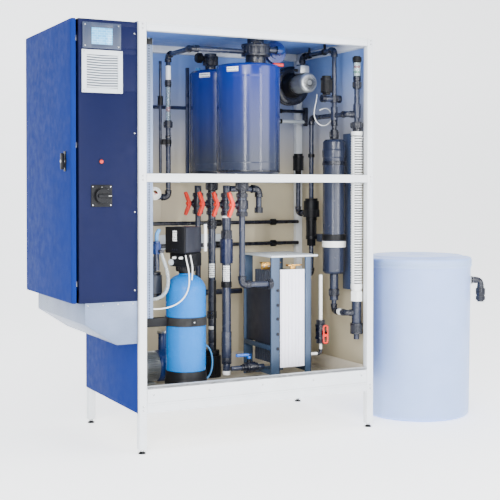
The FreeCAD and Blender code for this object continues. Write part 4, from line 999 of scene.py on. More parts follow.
@dataclass
class Cabinet(Assembly):
    """The open-fronted frame with its casing, tray and mounting strip."""

    width: float = 1350
    depth: float = 815
    height: float = 2100
    post: float = 40
    base: float = 197
    middle_rail: float = 1325
    top_rail: float = 2059
    sheet: float = 0.8

    def build(self) -> None:
        """Makes every piece of the cabinet."""
        self.frame()
        self.casing()
        self.tray()
        self.strip()

    def frame(self) -> None:
        """Makes the posts, rails, tank beams and feet."""
        far_x = self.width - self.post
        far_y = self.depth - self.post
        posts = Solid("posts")
        feet = Solid("feet")
        for x in (0, far_x):
            for y in (0, far_y):
                posts.block((x, y, 20), (x + self.post, y + self.post, self.height), FRAME_PAINT, 3.5)
                feet.turned([(0, 0), (19, 0), (19, 5), (10, 9), (9, 20), (0, 20)],
                        stand(x + 20, y + 20, 0), BLACK, 1.5)
                feet.fitting([(12, 6, Edge.HEX, STEEL)], at(x + 20, y + 20, 12), Along.UP, STEEL)
        for x in (20, far_x + 20):
            for z in (1335, 2068):
                screws(posts, at(x, 0.2, z), Along.FRONT, 2, (0, 0, 20), 4.5)
            screws(posts, at(x, 0.2, 212), Along.FRONT, 2, (0, 0, 20), 4.5)
        self.keep(posts, Body.SKID, "frame_paint", "frame_posts")
        self.keep(feet, Body.SKID, "black_rubber", "foot_pads")
        rails = Solid("rails")
        for z, tall in ((self.base, 49), (self.middle_rail, 41), (self.top_rail, 41)):
            narrow = 15 if z == self.middle_rail else 0
            for y in (0, far_y):
                rails.block((40, y, z), (far_x, y + 40, z + tall), FRAME_PAINT, 3.0)
            rails.block((0, 40, z), (40, far_y, z + tall), FRAME_PAINT, 3.0)
            rails.block((far_x + narrow, 40, z), (self.width, far_y, z + tall), FRAME_PAINT, 3.0)
            seam = z + tall - 12
            rails.block((40, -0.3, seam), (far_x, 0.6, seam + 1.2), PALE_GREY, 0.2)
        for x in (545, 812):
            rails.block((x, 40, self.middle_rail), (x + 40, far_y, self.middle_rail + 41), FRAME_PAINT,
                    3.0)
            screws(rails, at(x + 20, 90, self.middle_rail + 41), Along.UP, 2, (0, 600, 0), 6)
        self.keep(rails, Body.SKID, "frame_paint", "frame_rails")
        front = Solid("front_lip")
        front.block((41, 1, 246.2), (far_x - 1, 4, 325), FRAME_PAINT, 0.8)
        front.block((41, 1, 322), (far_x - 1, 39, 325), FRAME_PAINT, 0.8)
        front.block((41, 1, 312), (far_x - 1, 6, 325), FRAME_PAINT, 2.0)
        screws(front, at(75, 1, 285), Along.FRONT, 5, (300, 0, 0), 4.5)
        self.keep(front, Body.SKID, "frame_paint", "lower_front_panel")

    def casing(self) -> None:
        """Makes the sheet panels: painted outside, pale inside."""
        low, top, sheet = self.base, self.height, self.sheet
        panels = Solid("casing")
        for x, inner in ((-2, -sheet), (self.width, self.width)):
            outer = x if x < 0 else x + sheet
            panels.block((outer, 20, low), (outer + 1.2, self.depth, top), OUTSIDE_BLUE, 0.4)
            panels.block((inner, 20, low), (inner + sheet, self.depth, top), INSIDE_WALL, 0.2)
        panels.block((0, self.depth + sheet, low), (self.width, self.depth + 2, top), OUTSIDE_BLUE, 0.4)
        panels.block((0, self.depth, low), (self.width, self.depth + sheet, top), INSIDE_WALL, 0.2)
        panels.block((-2, 20, top + sheet), (self.width + 2, self.depth + 2, top + 2), OUTSIDE_BLUE, 0.5)
        panels.block((0, 20, top), (self.width, self.depth, top + sheet), INSIDE_TOP, 0.2)
        for y in (38, 795):
            screws(panels, at(self.width + 1.9, y, 260), Along.RIGHT, 7, (0, 0, 300), 5)
        for x in (24, self.width / 2, self.width - 24):
            screws(panels, at(x, self.depth + 2, 260), Along.BACK, 7, (0, 0, 300), 5)
        for x in (450, 900):
            panels.block((x - 1, self.depth - 1.2, 250), (x + 1, self.depth, 2058), INSIDE_WALL, 0.4)
        for x in (450, 900):
            panels.block((x - 18, self.depth + 1.9, 240), (x + 18, self.depth + 3.4, 2060), OUTSIDE_BLUE,
                    0.7)
        for z in (420, 1880):
            for x in (300, 520) if z == 420 else (1120,):
                panels.turned([(25, 1.8), (44, 1.8), (44, 3.4), (25, 3.4)],
                        looking(at(x, self.depth, z), Along.BACK), RUBBER, 0.6, closed=True)
        self.keep(panels, Body.SKID, "panel_paint", "casing_panels")

    def tray(self) -> None:
        """Makes the moulded drip tray with its rolled rim."""
        x0, x1, y0, y1 = 41, self.width - 41, 41, self.depth - 41
        tray = Solid("tray")
        tray.block((x0, y0, 247), (x1, y1, 251), TRAY, 1.0)
        tray.block((x0, y0, 247), (x1, y0 + 4, 321), TRAY, 1.2)
        tray.block((x0, y1 - 4, 247), (x1, y1, 336), TRAY, 1.2)
        tray.block((x0, y0, 247), (x0 + 4, y1, 336), TRAY, 1.2)
        tray.block((x1 - 4, y0, 247), (x1, y1, 336), TRAY, 1.2)
        for inner in ((x0 + 3, y0 + 3, x1 - 3, y0 + 9), (x0 + 3, y1 - 9, x1 - 3, y1 - 3),
                (x0 + 3, y0 + 3, x0 + 9, y1 - 3), (x1 - 9, y0 + 3, x1 - 3, y1 - 3)):
            tray.block((inner[0], inner[1], 250), (inner[2], inner[3], 257), TRAY, 3.0)
        ridge = Solid("tray_ridge")
        ridge.block((-4, -330, 0), (4, 330, 2.2), TRAY, 1.0, ORIGIN)
        tray.repeat(ridge, 13, stand(105, self.depth / 2, 250.6), (95, 0, 0))
        self.keep(tray, Body.SKID, "tray_plastic", "base_tray")

    def strip(self) -> None:
        """Makes the steel mounting strip from tiles with a round hole each."""
        tile = Solid("strip_tile")
        piece = bmesh.new()
        flats = 20
        pitch = 13.0
        layers = []
        for z in (0.0, 0.0025):
            hole = []
            rim = []
            for k in range(flats):
                angle = 2 * math.pi * (k + 0.5) / flats
                way = Vector((math.cos(angle), math.sin(angle)))
                hole.append(piece.verts.new((way.x * 0.0037, way.y * 0.0037, z)))
                reach = min(0.004 / max(abs(way.x), 1e-6), pitch / 2000 / max(abs(way.y), 1e-6))
                rim.append(piece.verts.new((way.x * reach, way.y * reach, z)))
            layers.append((hole, rim))
        (low_hole, low_rim), (high_hole, high_rim) = layers
        for k in range(flats):
            n = (k + 1) % flats
            piece.faces.new((low_hole[k], low_rim[k], low_rim[n], low_hole[n]))
            piece.faces.new((high_hole[n], high_rim[n], high_rim[k], high_hole[k]))
            piece.faces.new((low_hole[n], high_hole[n], high_hole[k], low_hole[k]))
            piece.faces.new((low_rim[k], high_rim[k], high_rim[n], low_rim[n]))
        tile.take(piece, ORIGIN, GALVANISED)
        strip = Solid("perforated_rail")
        place = looking(at(69, 44.5, 656 + 8), Along.FRONT)
        strip.repeat(tile, 105, place, (0, pitch, 0))
        strip.block((42, 42, 656), (65.2, 44.5, 2030), GALVANISED, 0.6)
        strip.block((72.8, 42, 656), (88, 44.5, 2030), GALVANISED, 0.6)
        # Dark strip behind the hole column: painted shadow that makes the holes read dark.
        strip.block((65.3, 43.9, 660), (72.7, 44.5, 2020), DARK_PVC, 0.2)
        strip.block((42, 42, 2023), (88, 44.5, 2030), GALVANISED, 0.6)
        strip.block((48, 40, 1995), (86, 44.8, 2024), BLACK, 2.0)
        for z in (660, 1340, 2010):
            screws(strip, at(52, 42.1, z + 6), Along.FRONT, 1, radius=4.5)
        self.keep(strip, Body.SKID, "steel", "perforated_strip")


# -------------------------------------------------------------------------------- control box


@dataclass
class ControlBox(Assembly):
    """The side-hung box, its door, front wall devices and cable chute."""

    left: float = -298
    front: float = 15
    width: float = 800
    low: float = 748
    height: float = 1348
    door_inside: float = -311
    door_outside: float = -335
    handle_y: float = 104
    handle_z: float = 1423
    hinge_x: float = -305
    hinge_y: float = 826.5

    def build(self) -> None:
        """Makes every piece of the control box."""
        self.shell()
        self.door()
        self.hinges()
        self.door_hardware()
        self.touch_panel()
        self.grille()
        self.fan()
        self.switch()
        self.chute()
        self.gear()

    def shell(self) -> None:
        """Makes the welded box with its folded rim."""
        x0, x1 = self.left, -2
        y0, y1 = self.front, self.front + self.width
        z0, z1 = self.low, self.low + self.height
        shell = Solid("box_shell")
        cuts = ((1760, 1938, -270, -92), (1966, 2070, -268.5, -96.5))
        reached = z0
        for low, high, near, far in cuts:
            shell.block((x0, y0, reached), (x1, y0 + 2, low), WALL_NAVY, 0.5)
            shell.block((x0, y0, low), (near, y0 + 2, high), WALL_NAVY, 0.5)
            shell.block((far, y0, low), (x1, y0 + 2, high), WALL_NAVY, 0.5)
            reached = high
        shell.block((x0, y0, reached), (x1, y0 + 2, z1), WALL_NAVY, 0.5)
        shell.block((x0, y1 - 2, z0), (x1, y1, z1), WALL_NAVY, 1.0)
        shell.block((x0, y0, z1 - 2), (x1, y1, z1), WALL_NAVY, 1.0)
        shell.block((x1 - 2, y0, z0), (x1, y1, z1), WALL_NAVY, 0.8)
        shell.block((x0, y0, z0), (x1, 75, z0 + 2), WALL_NAVY, 0.8)
        shell.block((x0, 775, z0), (x1, y1, z0 + 2), WALL_NAVY, 0.8)
        shell.block((x0, 75, z0), (-240, 775, z0 + 2), WALL_NAVY, 0.8)
        shell.block((-20, 75, z0), (x1, 775, z0 + 2), WALL_NAVY, 0.8)
        for low, high in (((y0, z0), (y0 + 62, z1)), ((y1 - 62, z0), (y1, z1)), ((y0, z0), (y1, z0 + 62)),
                ((y0, z1 - 62), (y1, z1))):
            shell.block((x0, low[0], low[1]), (x0 + 2, high[0], high[1]), WALL_NAVY, 0.6)
        shell.block((x0 - 0.4, y0 + 2, z0 + 2), (x0 + 5, y0 + 7, z1 - 2), WALL_NAVY, 2.0)
        for z in (800, 1180, 1560, 2040):
            screws(shell, at(-17, y0, z), Along.FRONT, 1, radius=4)
        self.keep(shell, Body.SKID, "navy_paint", "control_box")
        seal = Solid("door_seal")
        corners = [(50, 783), (780, 783), (780, 2061), (50, 2061)]
        for (ya, za), (yb, zb) in zip(corners, corners[1:] + corners[:1]):
            low = (-310.5, min(ya, yb), min(za, zb))
            high = (-298.4, max(ya, yb) + (12 if ya == yb else 0), max(za, zb) + (12 if za == zb else 0))
            if ya == yb == 780:
                low, high = (low[0], 768, low[2]), (high[0], 780, high[2])
            if za == zb == 2061:
                low, high = (low[0], low[1], 2049), (high[0], high[1], 2061)
            seal.block(low, high, RUBBER, 3.0)
        self.keep(seal, Body.SKID, "black_rubber", "door_gasket")

    def door(self) -> None:
        """Makes the folded door pan with soft outer edges."""
        x0, x1 = self.door_outside, self.door_inside
        y0, y1 = self.front, self.front + self.width
        z0, z1 = self.low, self.low + self.height
        door = Solid("door_pan")
        piece = bmesh.new()
        outer = self.rounded(y0, y1, z0, z1, 9)
        sections = [(x1, 0.0), (x0 + 9, 0.0), (x0 + 4, 1.6), (x0 + 1.2, 4.6), (x0, 9.0)]
        rings = []
        for x, inset in sections:
            ring = [piece.verts.new(at(x, y - math.copysign(inset, y - 415),
                    z - math.copysign(inset, z - 1422))) for y, z in outer]
            rings.append(ring)
        inner = self.rounded(y0 + 2, y1 - 2, z0 + 2, z1 - 2, 7)
        rings.insert(0, [piece.verts.new(at(x1, y, z)) for y, z in inner])
        rings.insert(0, [piece.verts.new(at(x0 + 2.2, y, z)) for y, z in inner])
        count = len(outer)
        for lower, higher in zip(rings, rings[1:]):
            for k in range(count):
                n = (k + 1) % count
                piece.faces.new((lower[k], lower[n], higher[n], higher[k]))
        piece.faces.new(rings[0])
        piece.faces.new(rings[-1])
        door.take(piece, ORIGIN, DOOR_BLUE)
        door.block((x1 - 3, y0 + 2, z0 + 20), (x1 - 0.5, y0 + 11, z1 - 20), DOOR_BLUE, 1.0)
        for z in (1100, 1740):
            door.block((x0 + 2, 130, z), (x0 + 12, 770, z + 34), WALL_NAVY, 2.0)
        plate = looking(at(x0 + 0.3, self.handle_y, self.handle_z), Along.LEFT)
        door.turned([(6, 0), (20, 0), (20, 3.2), (17, 4.6), (6, 4.6)], plate, BLACK, 0.6, closed=True)
        for shift in (-33, 33):
            door.block((-15, shift - 15, 0), (15, shift + 15, 4.6), BLACK, 2.4, plate)
            screws(door, at(x0 - 4.2, self.handle_y, self.handle_z + shift), Along.LEFT, 1, radius=4)
        for z in (900, 1420, 1920):
            door.block((-325, y1 - 0.2, z + 22), (-309, y1 + 5.5, z + 58), DOOR_BLUE, 1.0)
            door.turned([(4.2, 0.3), (8, 0.3), (8, 35.7), (4.2, 35.7)],
                    stand(self.hinge_x, self.hinge_y, z + 22), STEEL, 0.6, closed=True)
            door.block((-325, 818, z + 23), (-309, 824, z + 57), STEEL, 1.2)
        self.keep(door, Body.DOOR, "blue_paint", "control_door")

    @staticmethod
    def rounded(y0: float, y1: float, z0: float, z1: float, radius: float) -> list[tuple]:
        """A rectangle of (y, z) points with rounded corners.

        Args:
            y0: its low y.
            y1: its high y.
            z0: its low z.
            z1: its high z.
            radius: the corners' radius.

        Returns:
            The points in order.
        """
        points = []
        for cy, cz, start in ((y1 - radius, z1 - radius, 0), (y0 + radius, z1 - radius, 90),
                (y0 + radius, z0 + radius, 180), (y1 - radius, z0 + radius, 270)):
            for k in range(6):
                angle = math.radians(start + 18 * k)
                points.append((cy + radius * math.cos(angle), cz + radius * math.sin(angle)))
        return points

    def hinges(self) -> None:
        """Makes the three fixed hinge halves with their pins."""
        hinges = Solid("hinges")
        back = self.front + self.width
        for z in (900, 1420, 1920):
            hinges.block((-297, back, z), (-253, back + 3, z + 80), STEEL, 1.0)
            screws(hinges, at(-268, back + 3, z + 14), Along.BACK, 3, (0, 0, 26), 5)
            hinges.fitting([(4, 80)], at(self.hinge_x, self.hinge_y, z), Along.UP, STEEL)
            for shift in (0, 58.5):
                hinges.turned([(0, 0.2), (8, 0.2), (8, 21.3), (0, 21.3)],
                        stand(self.hinge_x, self.hinge_y, z + shift), STEEL, 1.2)
                hinges.block((-304, back, z + shift + 0.3), (-288, back + 7, z + shift + 21.2), STEEL,
                        1.0)
        self.keep(hinges, Body.SKID, "steel", "door_hinges")

    def door_hardware(self) -> None:
        """Makes the swing handle and the lock rods."""
        handle = Solid("swing_handle")
        place = looking(at(self.door_outside - 7, self.handle_y, self.handle_z), Along.LEFT)
        outline = [(-9, -39), (9, -39), (12, -26), (12.4, 0), (11, 14), (9.5, 30), (7, 39), (-7, 39),
                (-9.5, 30), (-11, 14), (-12.4, 0), (-12, -26)]
        handle.shape(outline, 16.5, place, BLACK, 3.2)
        handle.turned([(0, 16), (8, 16), (8, 17), (0, 17)], place, STEEL, 0.4)
        handle.fitting([(5, 16.5)], at(self.door_outside + 9.8, self.handle_y, self.handle_z), Along.LEFT,
                STEEL)
        self.keep(handle, Body.HANDLE, "black_plastic", "door_handle")
        rods = Solid("rods")
        inside = self.door_inside
        rods.block((inside - 14, 27, 808), (inside - 11, 43, 2038), STEEL, 0.6)
        for z in (827, 1486, 1991):
            rods.block((inside - 12, 29, z), (inside + 11, 41, z + 26), STEEL, 2.0)
        self.keep(rods, Body.LOCK, "steel", "lock_rods")

    def touch_panel(self) -> None:
        """Makes the display with its bezel and generic screen."""
        panel = Solid("display")
        x0, x1, z0, z1 = -278, -87, 1957, 2080
        sx0, sx1, sz0, sz1 = -234, -129, 1977, 2056
        y0, y1 = 9, 15
        for low, high in (((x0, z0), (sx0, z1)), ((sx1, z0), (x1, z1)), ((sx0, z0), (sx1, sz0)),
                ((sx0, sz1), (sx1, z1))):
            panel.block((low[0] - 0.3, y0, low[1]), (high[0] + 0.3, y1, high[1]), BEZEL, 0.8)
        for low, high in (((sx0 - 4, sz0 - 4), (sx0, sz1 + 4)), ((sx1, sz0 - 4), (sx1 + 4, sz1 + 4)),
                ((sx0, sz0 - 4), (sx1, sz0)), ((sx0, sz1), (sx1, sz1 + 4))):
            panel.block((low[0], y0 - 0.7, low[1]), (high[0], y0 + 2, high[1]), BEZEL, 0.6)
        panel.block((sx0, y0 + 1.6, sz0), (sx1, y0 + 5, sz1), SCREEN, 0.4)
        panel.block((-266, 15.2, 1968.5), (-99, 59, 2067.5), BLACK, 2.0)
        for x in (x0 + 12, x1 - 12):
            for z in (z0 + 12, z1 - 12):
                screws(panel, at(x, y0 + 0.3, z), Along.FRONT, 1, radius=3.4)
        self.keep(panel, Body.SKID, "bezel_plastic", "touch_panel")

    def grille(self) -> None:
        """Makes the filter grille with sloping louvres, and the fan's frame behind it."""
        cx, cz, half = -181, 1849, 101.5
        grille = Solid("filter_grille")
        y0, y1 = 7, 15
        inner = 78
        for low, high in (((-half, -half), (-inner, half)), ((inner, -half), (half, half)),
                ((-inner, -half), (inner, -inner)), ((-inner, inner), (inner, half))):
            grille.block((cx + low[0] - 0.2, y0, cz + low[1]), (cx + high[0] + 0.2, y1, cz + high[1]),
                    PALE_GREY, 1.8)
        slat = Solid("louvre")
        outline = [(-inner, -4.6), (0, -7.4), (inner, -4.6), (inner, 1.4), (0, -1.4), (-inner, 1.4)]
        slat.shape(outline, 5.4, ORIGIN, PALE_GREY, 0.7)
        grille.repeat(slat, 13, looking(at(cx, 13.4, cz - 70), Along.FRONT), (0, 12, 0))
        grille.block((cx - inner, 13.6, cz - inner), (cx + inner, 14.8, cz + inner), MID_GREY, 0.3)
        for x in (-92, 92):
            for z in (-92, 92):
                screws(grille, at(cx + x, y0 + 0.2, cz + z), Along.FRONT, 1, radius=4)
        for low, high in (((-86, -86), (-80, 86)), ((80, -86), (86, 86)), ((-80, -86), (80, -80)),
                ((-80, 80), (80, 86))):
            grille.block((cx + low[0], 19, cz + low[1]), (cx + high[0], 67, cz + high[1]), BLACK, 1.2)
        grille.ring(82, 84.5, 48, looking(at(cx, 67, cz), Along.FRONT), BLACK, 0.6)
        grille.block((cx - 83, 59, cz - 8), (cx + 83, 63, cz + 8), BLACK, 1.0)
        grille.fitting([(4, 34)], at(cx, 60, cz), Along.FRONT, STEEL)
        self.keep(grille, Body.SKID, "black_plastic", "filter_fan")

    def fan(self) -> None:
        """Makes the axial fan with seven twisted blades."""
        fan = Solid("fan_wheel")
        place = looking(at(-181, 55, 1849), Along.FRONT)
        fan.turned([(4.2, 0), (26, 0), (26, 22), (22, 24), (4.2, 24)], place, BLACK, 1.5, closed=True)
        blade = Solid("fan_blade")
        piece = bmesh.new()
        sections = []
        for k in range(7):
            radius = (25 + 52 * k / 6) / 1000
            pitch = math.radians(42 - 16 * k / 6)
            chord = (14 + 12 * k / 6) / 1000
            ring = []
            for side, lift in ((-1, 0), (0, 0.0022), (1, 0), (0, 0.0008)):
                across = side * chord / 2
                y = across * math.cos(pitch) - lift * math.sin(pitch)
                z = across * math.sin(pitch) * 0.55 + lift * math.cos(pitch)
                ring.append(piece.verts.new((radius, y + 0.06 * (radius - 0.025), z)))
            sections.append(ring)
        for lower, higher in zip(sections, sections[1:]):
            for k in range(4):
                n = (k + 1) % 4
                piece.faces.new((lower[k], lower[n], higher[n], higher[k]))
        piece.faces.new(sections[0])
        piece.faces.new(sections[-1])
        blade.take(piece, ORIGIN, BLACK)
        fan.repeat(blade, 7, place @ Matrix.Translation((0, 0, 0.012)), turn=2 * math.pi / 7)
        self.keep(fan, Body.FAN, "black_plastic", "cooling_fan")

    def switch(self) -> None:
        """Makes the main switch and the lamp."""
        x, z = -185, 1258
        plate = Solid("switch_plate")
        for low, high in (((-52, -52), (52, -8)), ((-52, 8), (52, 52)), ((-52, -8), (-8, 8)),
                ((8, -8), (52, 8))):
            plate.block((x + low[0], 10, z + low[1] - 0.3), (x + high[0], 14.8, z + high[1] + 0.3), BLACK,
                    1.2)
        plate.turned([(6.3, 0), (46, 0), (46, 1.2), (44, 2), (6.3, 2)],
                looking(at(x, 10.4, z), Along.FRONT), BLACK, 0.5, closed=True)
        tick = Solid("switch_mark")
        tick.block((40, -0.8, 0), (44.5, 0.8, 2.4), WHITE, 0.3, ORIGIN)
        plate.repeat(tick, 3, looking(at(x, 10.2, z), Along.FRONT), turn=math.pi / 4)
        for dx in (-44, 44):
            for dz in (-44, 44):
                screws(plate, at(x + dx, 10.2, z + dz), Along.FRONT, 1, radius=3.6)
        plate.fitting([(8, 22), (12, 5), (9, 4, RED)], at(-187, 37, 1421), Along.FRONT, BLACK)
        self.keep(plate, Body.SKID, "black_plastic", "panel_devices")
        knob = Solid("switch_knob")
        matrix = looking(at(x, 9.8, z), Along.FRONT)
        knob.fitting([(6, 15)], at(x, 14.7, z), Along.FRONT, STEEL)
        knob.shape(ribbed_outline(38, 28), 10, matrix @ Matrix.Translation((0, 0, 0.0155)), BLACK, 0.0)
        knob.turned([(0, 15), (36.5, 15), (36.5, 26), (33, 28), (0, 28)], matrix, BLACK, 1.2)
        lever = [(-26, -8), (30, -9), (38, -5), (38, 5), (30, 9), (-26, 8), (-30, 0)]
        knob.shape(lever, 18, matrix @ Matrix.Translation((0, 0, 0.0270)), BLACK, 2.4)
        knob.block((18, -1, 44.6), (34, 1, 45.6), WHITE, 0.3, matrix)
        self.keep(knob, Body.SWITCH, "knob_plastic", "main_switch_knob")

    def chute(self) -> None:
        """Makes the sheet-metal chute and the wall trunking."""
        chute = Solid("chute")
        y0, y1 = self.front, self.front + self.width
        z = 747.7
        place = looking(at(0, y0 + 1.6, z), Along.FRONT)
        side = [(-269, 0), (-3, 0), (-3, -208), (-109, -208), (-269, -102)]
        chute.shape(side, 1.6, place, GALVANISED, 0.5)
        chute.shape(side, 1.6, looking(at(0, y1, z), Along.FRONT), GALVANISED, 0.5)
        chute.block((-269, y0, z - 103), (-267.2, y1, z), GALVANISED, 0.5)
        chute.block((-109, y0, z - 208), (-3, y1, z - 206.2), GALVANISED, 0.5)
        slope = Vector((160, 0, -106)).normalized()
        middle = at(-189, (y0 + y1) / 2, z - 155 + 0.9)
        chute.block((-96, -400, -0.9), (96, 400, 0.9), GALVANISED, 0.4,
                looking(middle, slope.cross(Vector((0, 1, 0))), Vector((0, 1, 0))))
        screws(chute, at(-255, y0, z - 12), Along.FRONT, 4, (76, 0, 0), 4)
        for height, length in ((732, 592), (1367, 230)):
            chute.block((1311.8, 186, height), (1349.8, 252, height + length), SLATE, 1.6)
            chute.block((1311, 190, height + 2), (1313, 248, height + length - 2), SLATE, 0.8)
        chute.block((415, 790.8, 944), (885, 806.8, 1028), PALE_GREY, 1.2)
        chute.block((415, 789.6, 946), (885, 791.2, 1026), PALE_GREY, 0.6)
        self.keep(chute, Body.SKID, "trunking_paint", "cable_chute")

    def gear(self) -> None:
        """Makes the modules on the mounting plate, with fins."""
        gear = Solid("modules")
        gear.block((-12, 75, 820), (-9, 755, 2020), GALVANISED, 0.6)
        modules = [(170, 300, 420, 140, 860, MID_GREY), (60, 300, 90, 140, 1290, CAST),
                   (110, 120, 130, 480, 900, CAST), (95, 150, 160, 620, 900, BLACK),
                   (90, 280, 90, 470, 1120, PALE_GREY), (70, 560, 80, 140, 1440, PALE_GREY),
                   (50, 560, 60, 140, 1900, PALE_GREY), (60, 600, 50, 120, 1570, MID_GREY),
                   (60, 600, 50, 120, 1820, MID_GREY), (75, 420, 90, 140, 1680, PALE_GREY)]
        for reach, wide, tall, y, z, finish in modules:
            gear.block((-9 - reach + 2, y, z), (-12, y + wide, z + tall), finish, 2.0)
            rib = Solid("module_rib")
            rib.block((-0.9, -tall / 2 + 6, 0), (0.9, tall / 2 - 6, 1.9), finish, 0.4, ORIGIN)
            count = int((wide - 16) / 17)
            place = looking(at(-9 - reach + 2, y + wide - 10, z + tall / 2), Along.LEFT)
            gear.repeat(rib, count, place, (17, 0, 0))
        self.keep(gear, Body.SKID, "module_plastic", "control_gear")


# ---------------------------------------------------------------------------------- upper bay


@dataclass
class UpperBay(Assembly):
    """Tanks, blower, columns, flow meter and pipes above the middle rail."""

    tank_x: float = 699
    tank_radius: float = 169
    tank_ys: tuple[float, float] = (215, 562)
    tank_floor: float = 1366
    tank_top: float = 1942
    column_x: float = 1226
    column_y: float = 205
    riser_x: float = 1290
    riser_y: float = 75
    feed_x: float = 372
    feed_y: float = 530
    blower_x: float = 1138
    blower_z: float = 1883

    def build(self) -> None:
        """Makes every piece of the upper bay."""
        self.tanks()
        self.heads()
        self.blower()
        self.columns()
        self.pipes()
        self.tubes()
        self.actuators()

    def tanks(self) -> None:
        """Makes the two tanks with weld seams, bands and labels."""
        tanks = Solid("tanks")
        tall = self.tank_top - self.tank_floor
        r = self.tank_radius
        for y in self.tank_ys:
            place = stand(self.tank_x, y, self.tank_floor)
            profile = [(0, 0), (r - 12, 0), (r - 1, 11), (r - 1, 60), (r - 2.2, 63), (r - 1, 66),
                    (r - 1, tall - 70), (r, tall - 64), (r, tall - 12), (r - 12, tall),
                    (r - 30, tall - 0.5), (60, tall), (0, tall)]
            tanks.turned(profile, place, TANK_GREY, 3.0, 112)
            tanks.turned([(r - 2, 0), (r + 1.2, 1), (r + 1.2, 9), (r - 2, 10)],
                    place @ Matrix.Translation((0, 0, 0.012)), DARK_PVC, 1.0, 112, closed=True)
            self.label(tanks, self.tank_x, y, r, 1898, 24, math.radians(214), 0.20, LABEL)
        self.keep(tanks, Body.SKID, "tank_plastic", "product_tanks")

    @staticmethod
    def label(solid: Solid, x: float, y: float, radius: float, z: float, tall: float, middle: float,
            half: float, finish: Finish) -> None:
        """Adds a label bent round an upright cylinder.

        Args:
            solid: what it is added to.
            x: the cylinder's axis.
            y: the cylinder's axis.
            radius: the cylinder's radius, in millimetres.
            z: the label's lower edge.
            tall: its height.
            middle: the angle of its middle, from the right towards the back.
            half: half its angle.
            finish: its finish.
        """
        piece = bmesh.new()
        rings = []
        for k in range(9):
            angle = middle - half + 2 * half * k / 8
            ring = []
            for r, h in ((radius - 0.6, 0), (radius + 0.5, 0), (radius + 0.5, tall),
                    (radius - 0.6, tall)):
                ring.append(piece.verts.new(at(x + r * math.cos(angle), y + r * math.sin(angle), z + h)))
            rings.append(ring)
        for lower, higher in zip(rings, rings[1:]):
            for k in range(4):
                n = (k + 1) % 4
                piece.faces.new((lower[k], lower[n], higher[n], higher[k]))
        piece.faces.new(rings[0])
        piece.faces.new(rings[-1])
        solid.take(piece, ORIGIN, finish)

    def heads(self) -> None:
        """Makes the fittings on top of the tanks."""
        heads = Solid("tank_fittings")
        front, rear = self.tank_ys
        top = self.tank_top + 0.2
        heads.fitting([(56, 12, DARK_PVC), (54, 40), (77, 14, DARK_PVC), (72, 34, Edge.RIBBED, DARK_PVC),
                (77, 14, DARK_PVC), (45, 32)], at(self.tank_x + 44, front, top), Along.UP, DARK_PVC)
        bolt = Solid("head_bolt")
        bolt.disc(5, 4.2, Matrix.Translation((0.066, 0, 0)), STEEL, 0.8, 6)
        heads.repeat(bolt, 8, stand(self.tank_x + 44, front, top + 113), turn=math.pi / 4)
        heads.fitting([(30, 34, GREY_PVC), (43, 50, Edge.RIBBED, DARK_PVC), (34, 14, GREY_PVC)],
                at(self.tank_x - 59, rear, top), Along.UP, VALVE_BLUE)
        heads.fitting([(14, 12), (28, 24, Edge.RIBBED), (24, 8)], at(self.tank_x - 103.5, rear, top + 72),
                Along.LEFT, BLACK)
        heads.fitting([(17, 10, Edge.HEX), (13, 8)], at(self.tank_x - 130, rear + 10, top), Along.UP,
                SKY_BLUE)
        heads.fitting([(30, 12), (60, 6), (57, 22, Edge.RIBBED), (60, 6), (36, 10)], at(912, 344, 2034),
                Along.FRONT, CHECK_BLUE)
        heads.route([at(820.4, front, 2034), at(912, front, 2034), at(912, 287.6, 2034)], 16, GREY_PVC,
                VALVE_BLUE)
        heads.block((895, 293, 1959), (957, 307, 1977), ORANGE, 3.0)
        self.keep(heads, Body.SKID, "grey_fittings", "tank_heads")

    def blower(self) -> None:
        """Makes the side-channel blower and its finned motor."""
        x, z = self.blower_x, self.blower_z
        case = Solid("blower_case")
        place = looking(at(x + 6, 600, z), Along.FRONT)
        case.turned([(0, 0), (96, 0), (112, 14), (112, 30), (106, 39), (112, 48), (112, 66), (98, 78),
                (13, 78), (13, 62), (98, 61), (98, 8), (0, 7)], place, DARK_PVC, 3.5, 84)
        rib = Solid("case_rib")
        rib.block((60, -1.6, 0), (104, 1.6, 3.4), DARK_PVC, 0.8, ORIGIN)
        case.repeat(rib, 16, place @ Matrix.Translation((0, 0, 0.0745)), turn=math.pi / 8)
        case.turned([(24, 0), (30, 0), (30, 96), (35, 98), (35, 106), (24, 106)],
                stand(x + 88, 561, z + 20), DARK_PVC, 1.5, closed=True)
        self.keep(case, Body.SKID, "blower_paint", "blower_housing")
        motor = Solid("blower_drive")
        motor.turned([(14, 0), (72, 0), (74, 6), (70, 20), (58, 40), (56, 62), (14, 62)],
                looking(at(x, 521.5, z), Along.FRONT), BLACK, 3.0, closed=True)
        drive = looking(at(x, 459.3, z), Along.FRONT)
        motor.ring(8.1, 46, 112, drive, CAST, 1.0)
        fin = Solid("motor_fin")
        fin.block((45, -1.1, 2), (52.6, 1.1, 110), CAST, 0.6, ORIGIN)
        motor.repeat(fin, 36, drive, turn=math.pi / 18)
        cover = looking(at(x, 347, z), Along.FRONT)
        motor.turned([(0, 0), (55, 0), (55, 9), (51, 16), (46, 22), (40, 24), (0, 24)], cover, CAST, 2.0)
        slot = Solid("cover_slot")
        slot.block((14, -1.5, 23.2), (40, 1.5, 25.0), BLACK, 0.5, ORIGIN)
        motor.repeat(slot, 24, cover, turn=math.pi / 12)
        motor.block((x - 34, 366, z + 53.5), (x + 24, 440, z + 99), CAST, 5.0)
        motor.block((x - 30, 370, z + 96), (x + 20, 436, z + 99.4), CAST, 1.2)
        screws(motor, at(x - 24, 376, z + 99), Along.UP, 2, (38, 0, 0), 3.5)
        motor.fitting([(9, 14, Edge.HEX), (7, 8)], at(x - 34, 404, z + 74), Along.LEFT, BLACK)
        self.keep(motor, Body.SKID, "motor_metal", "blower_motor")
        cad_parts["blower_rotor"].data.materials.clear()
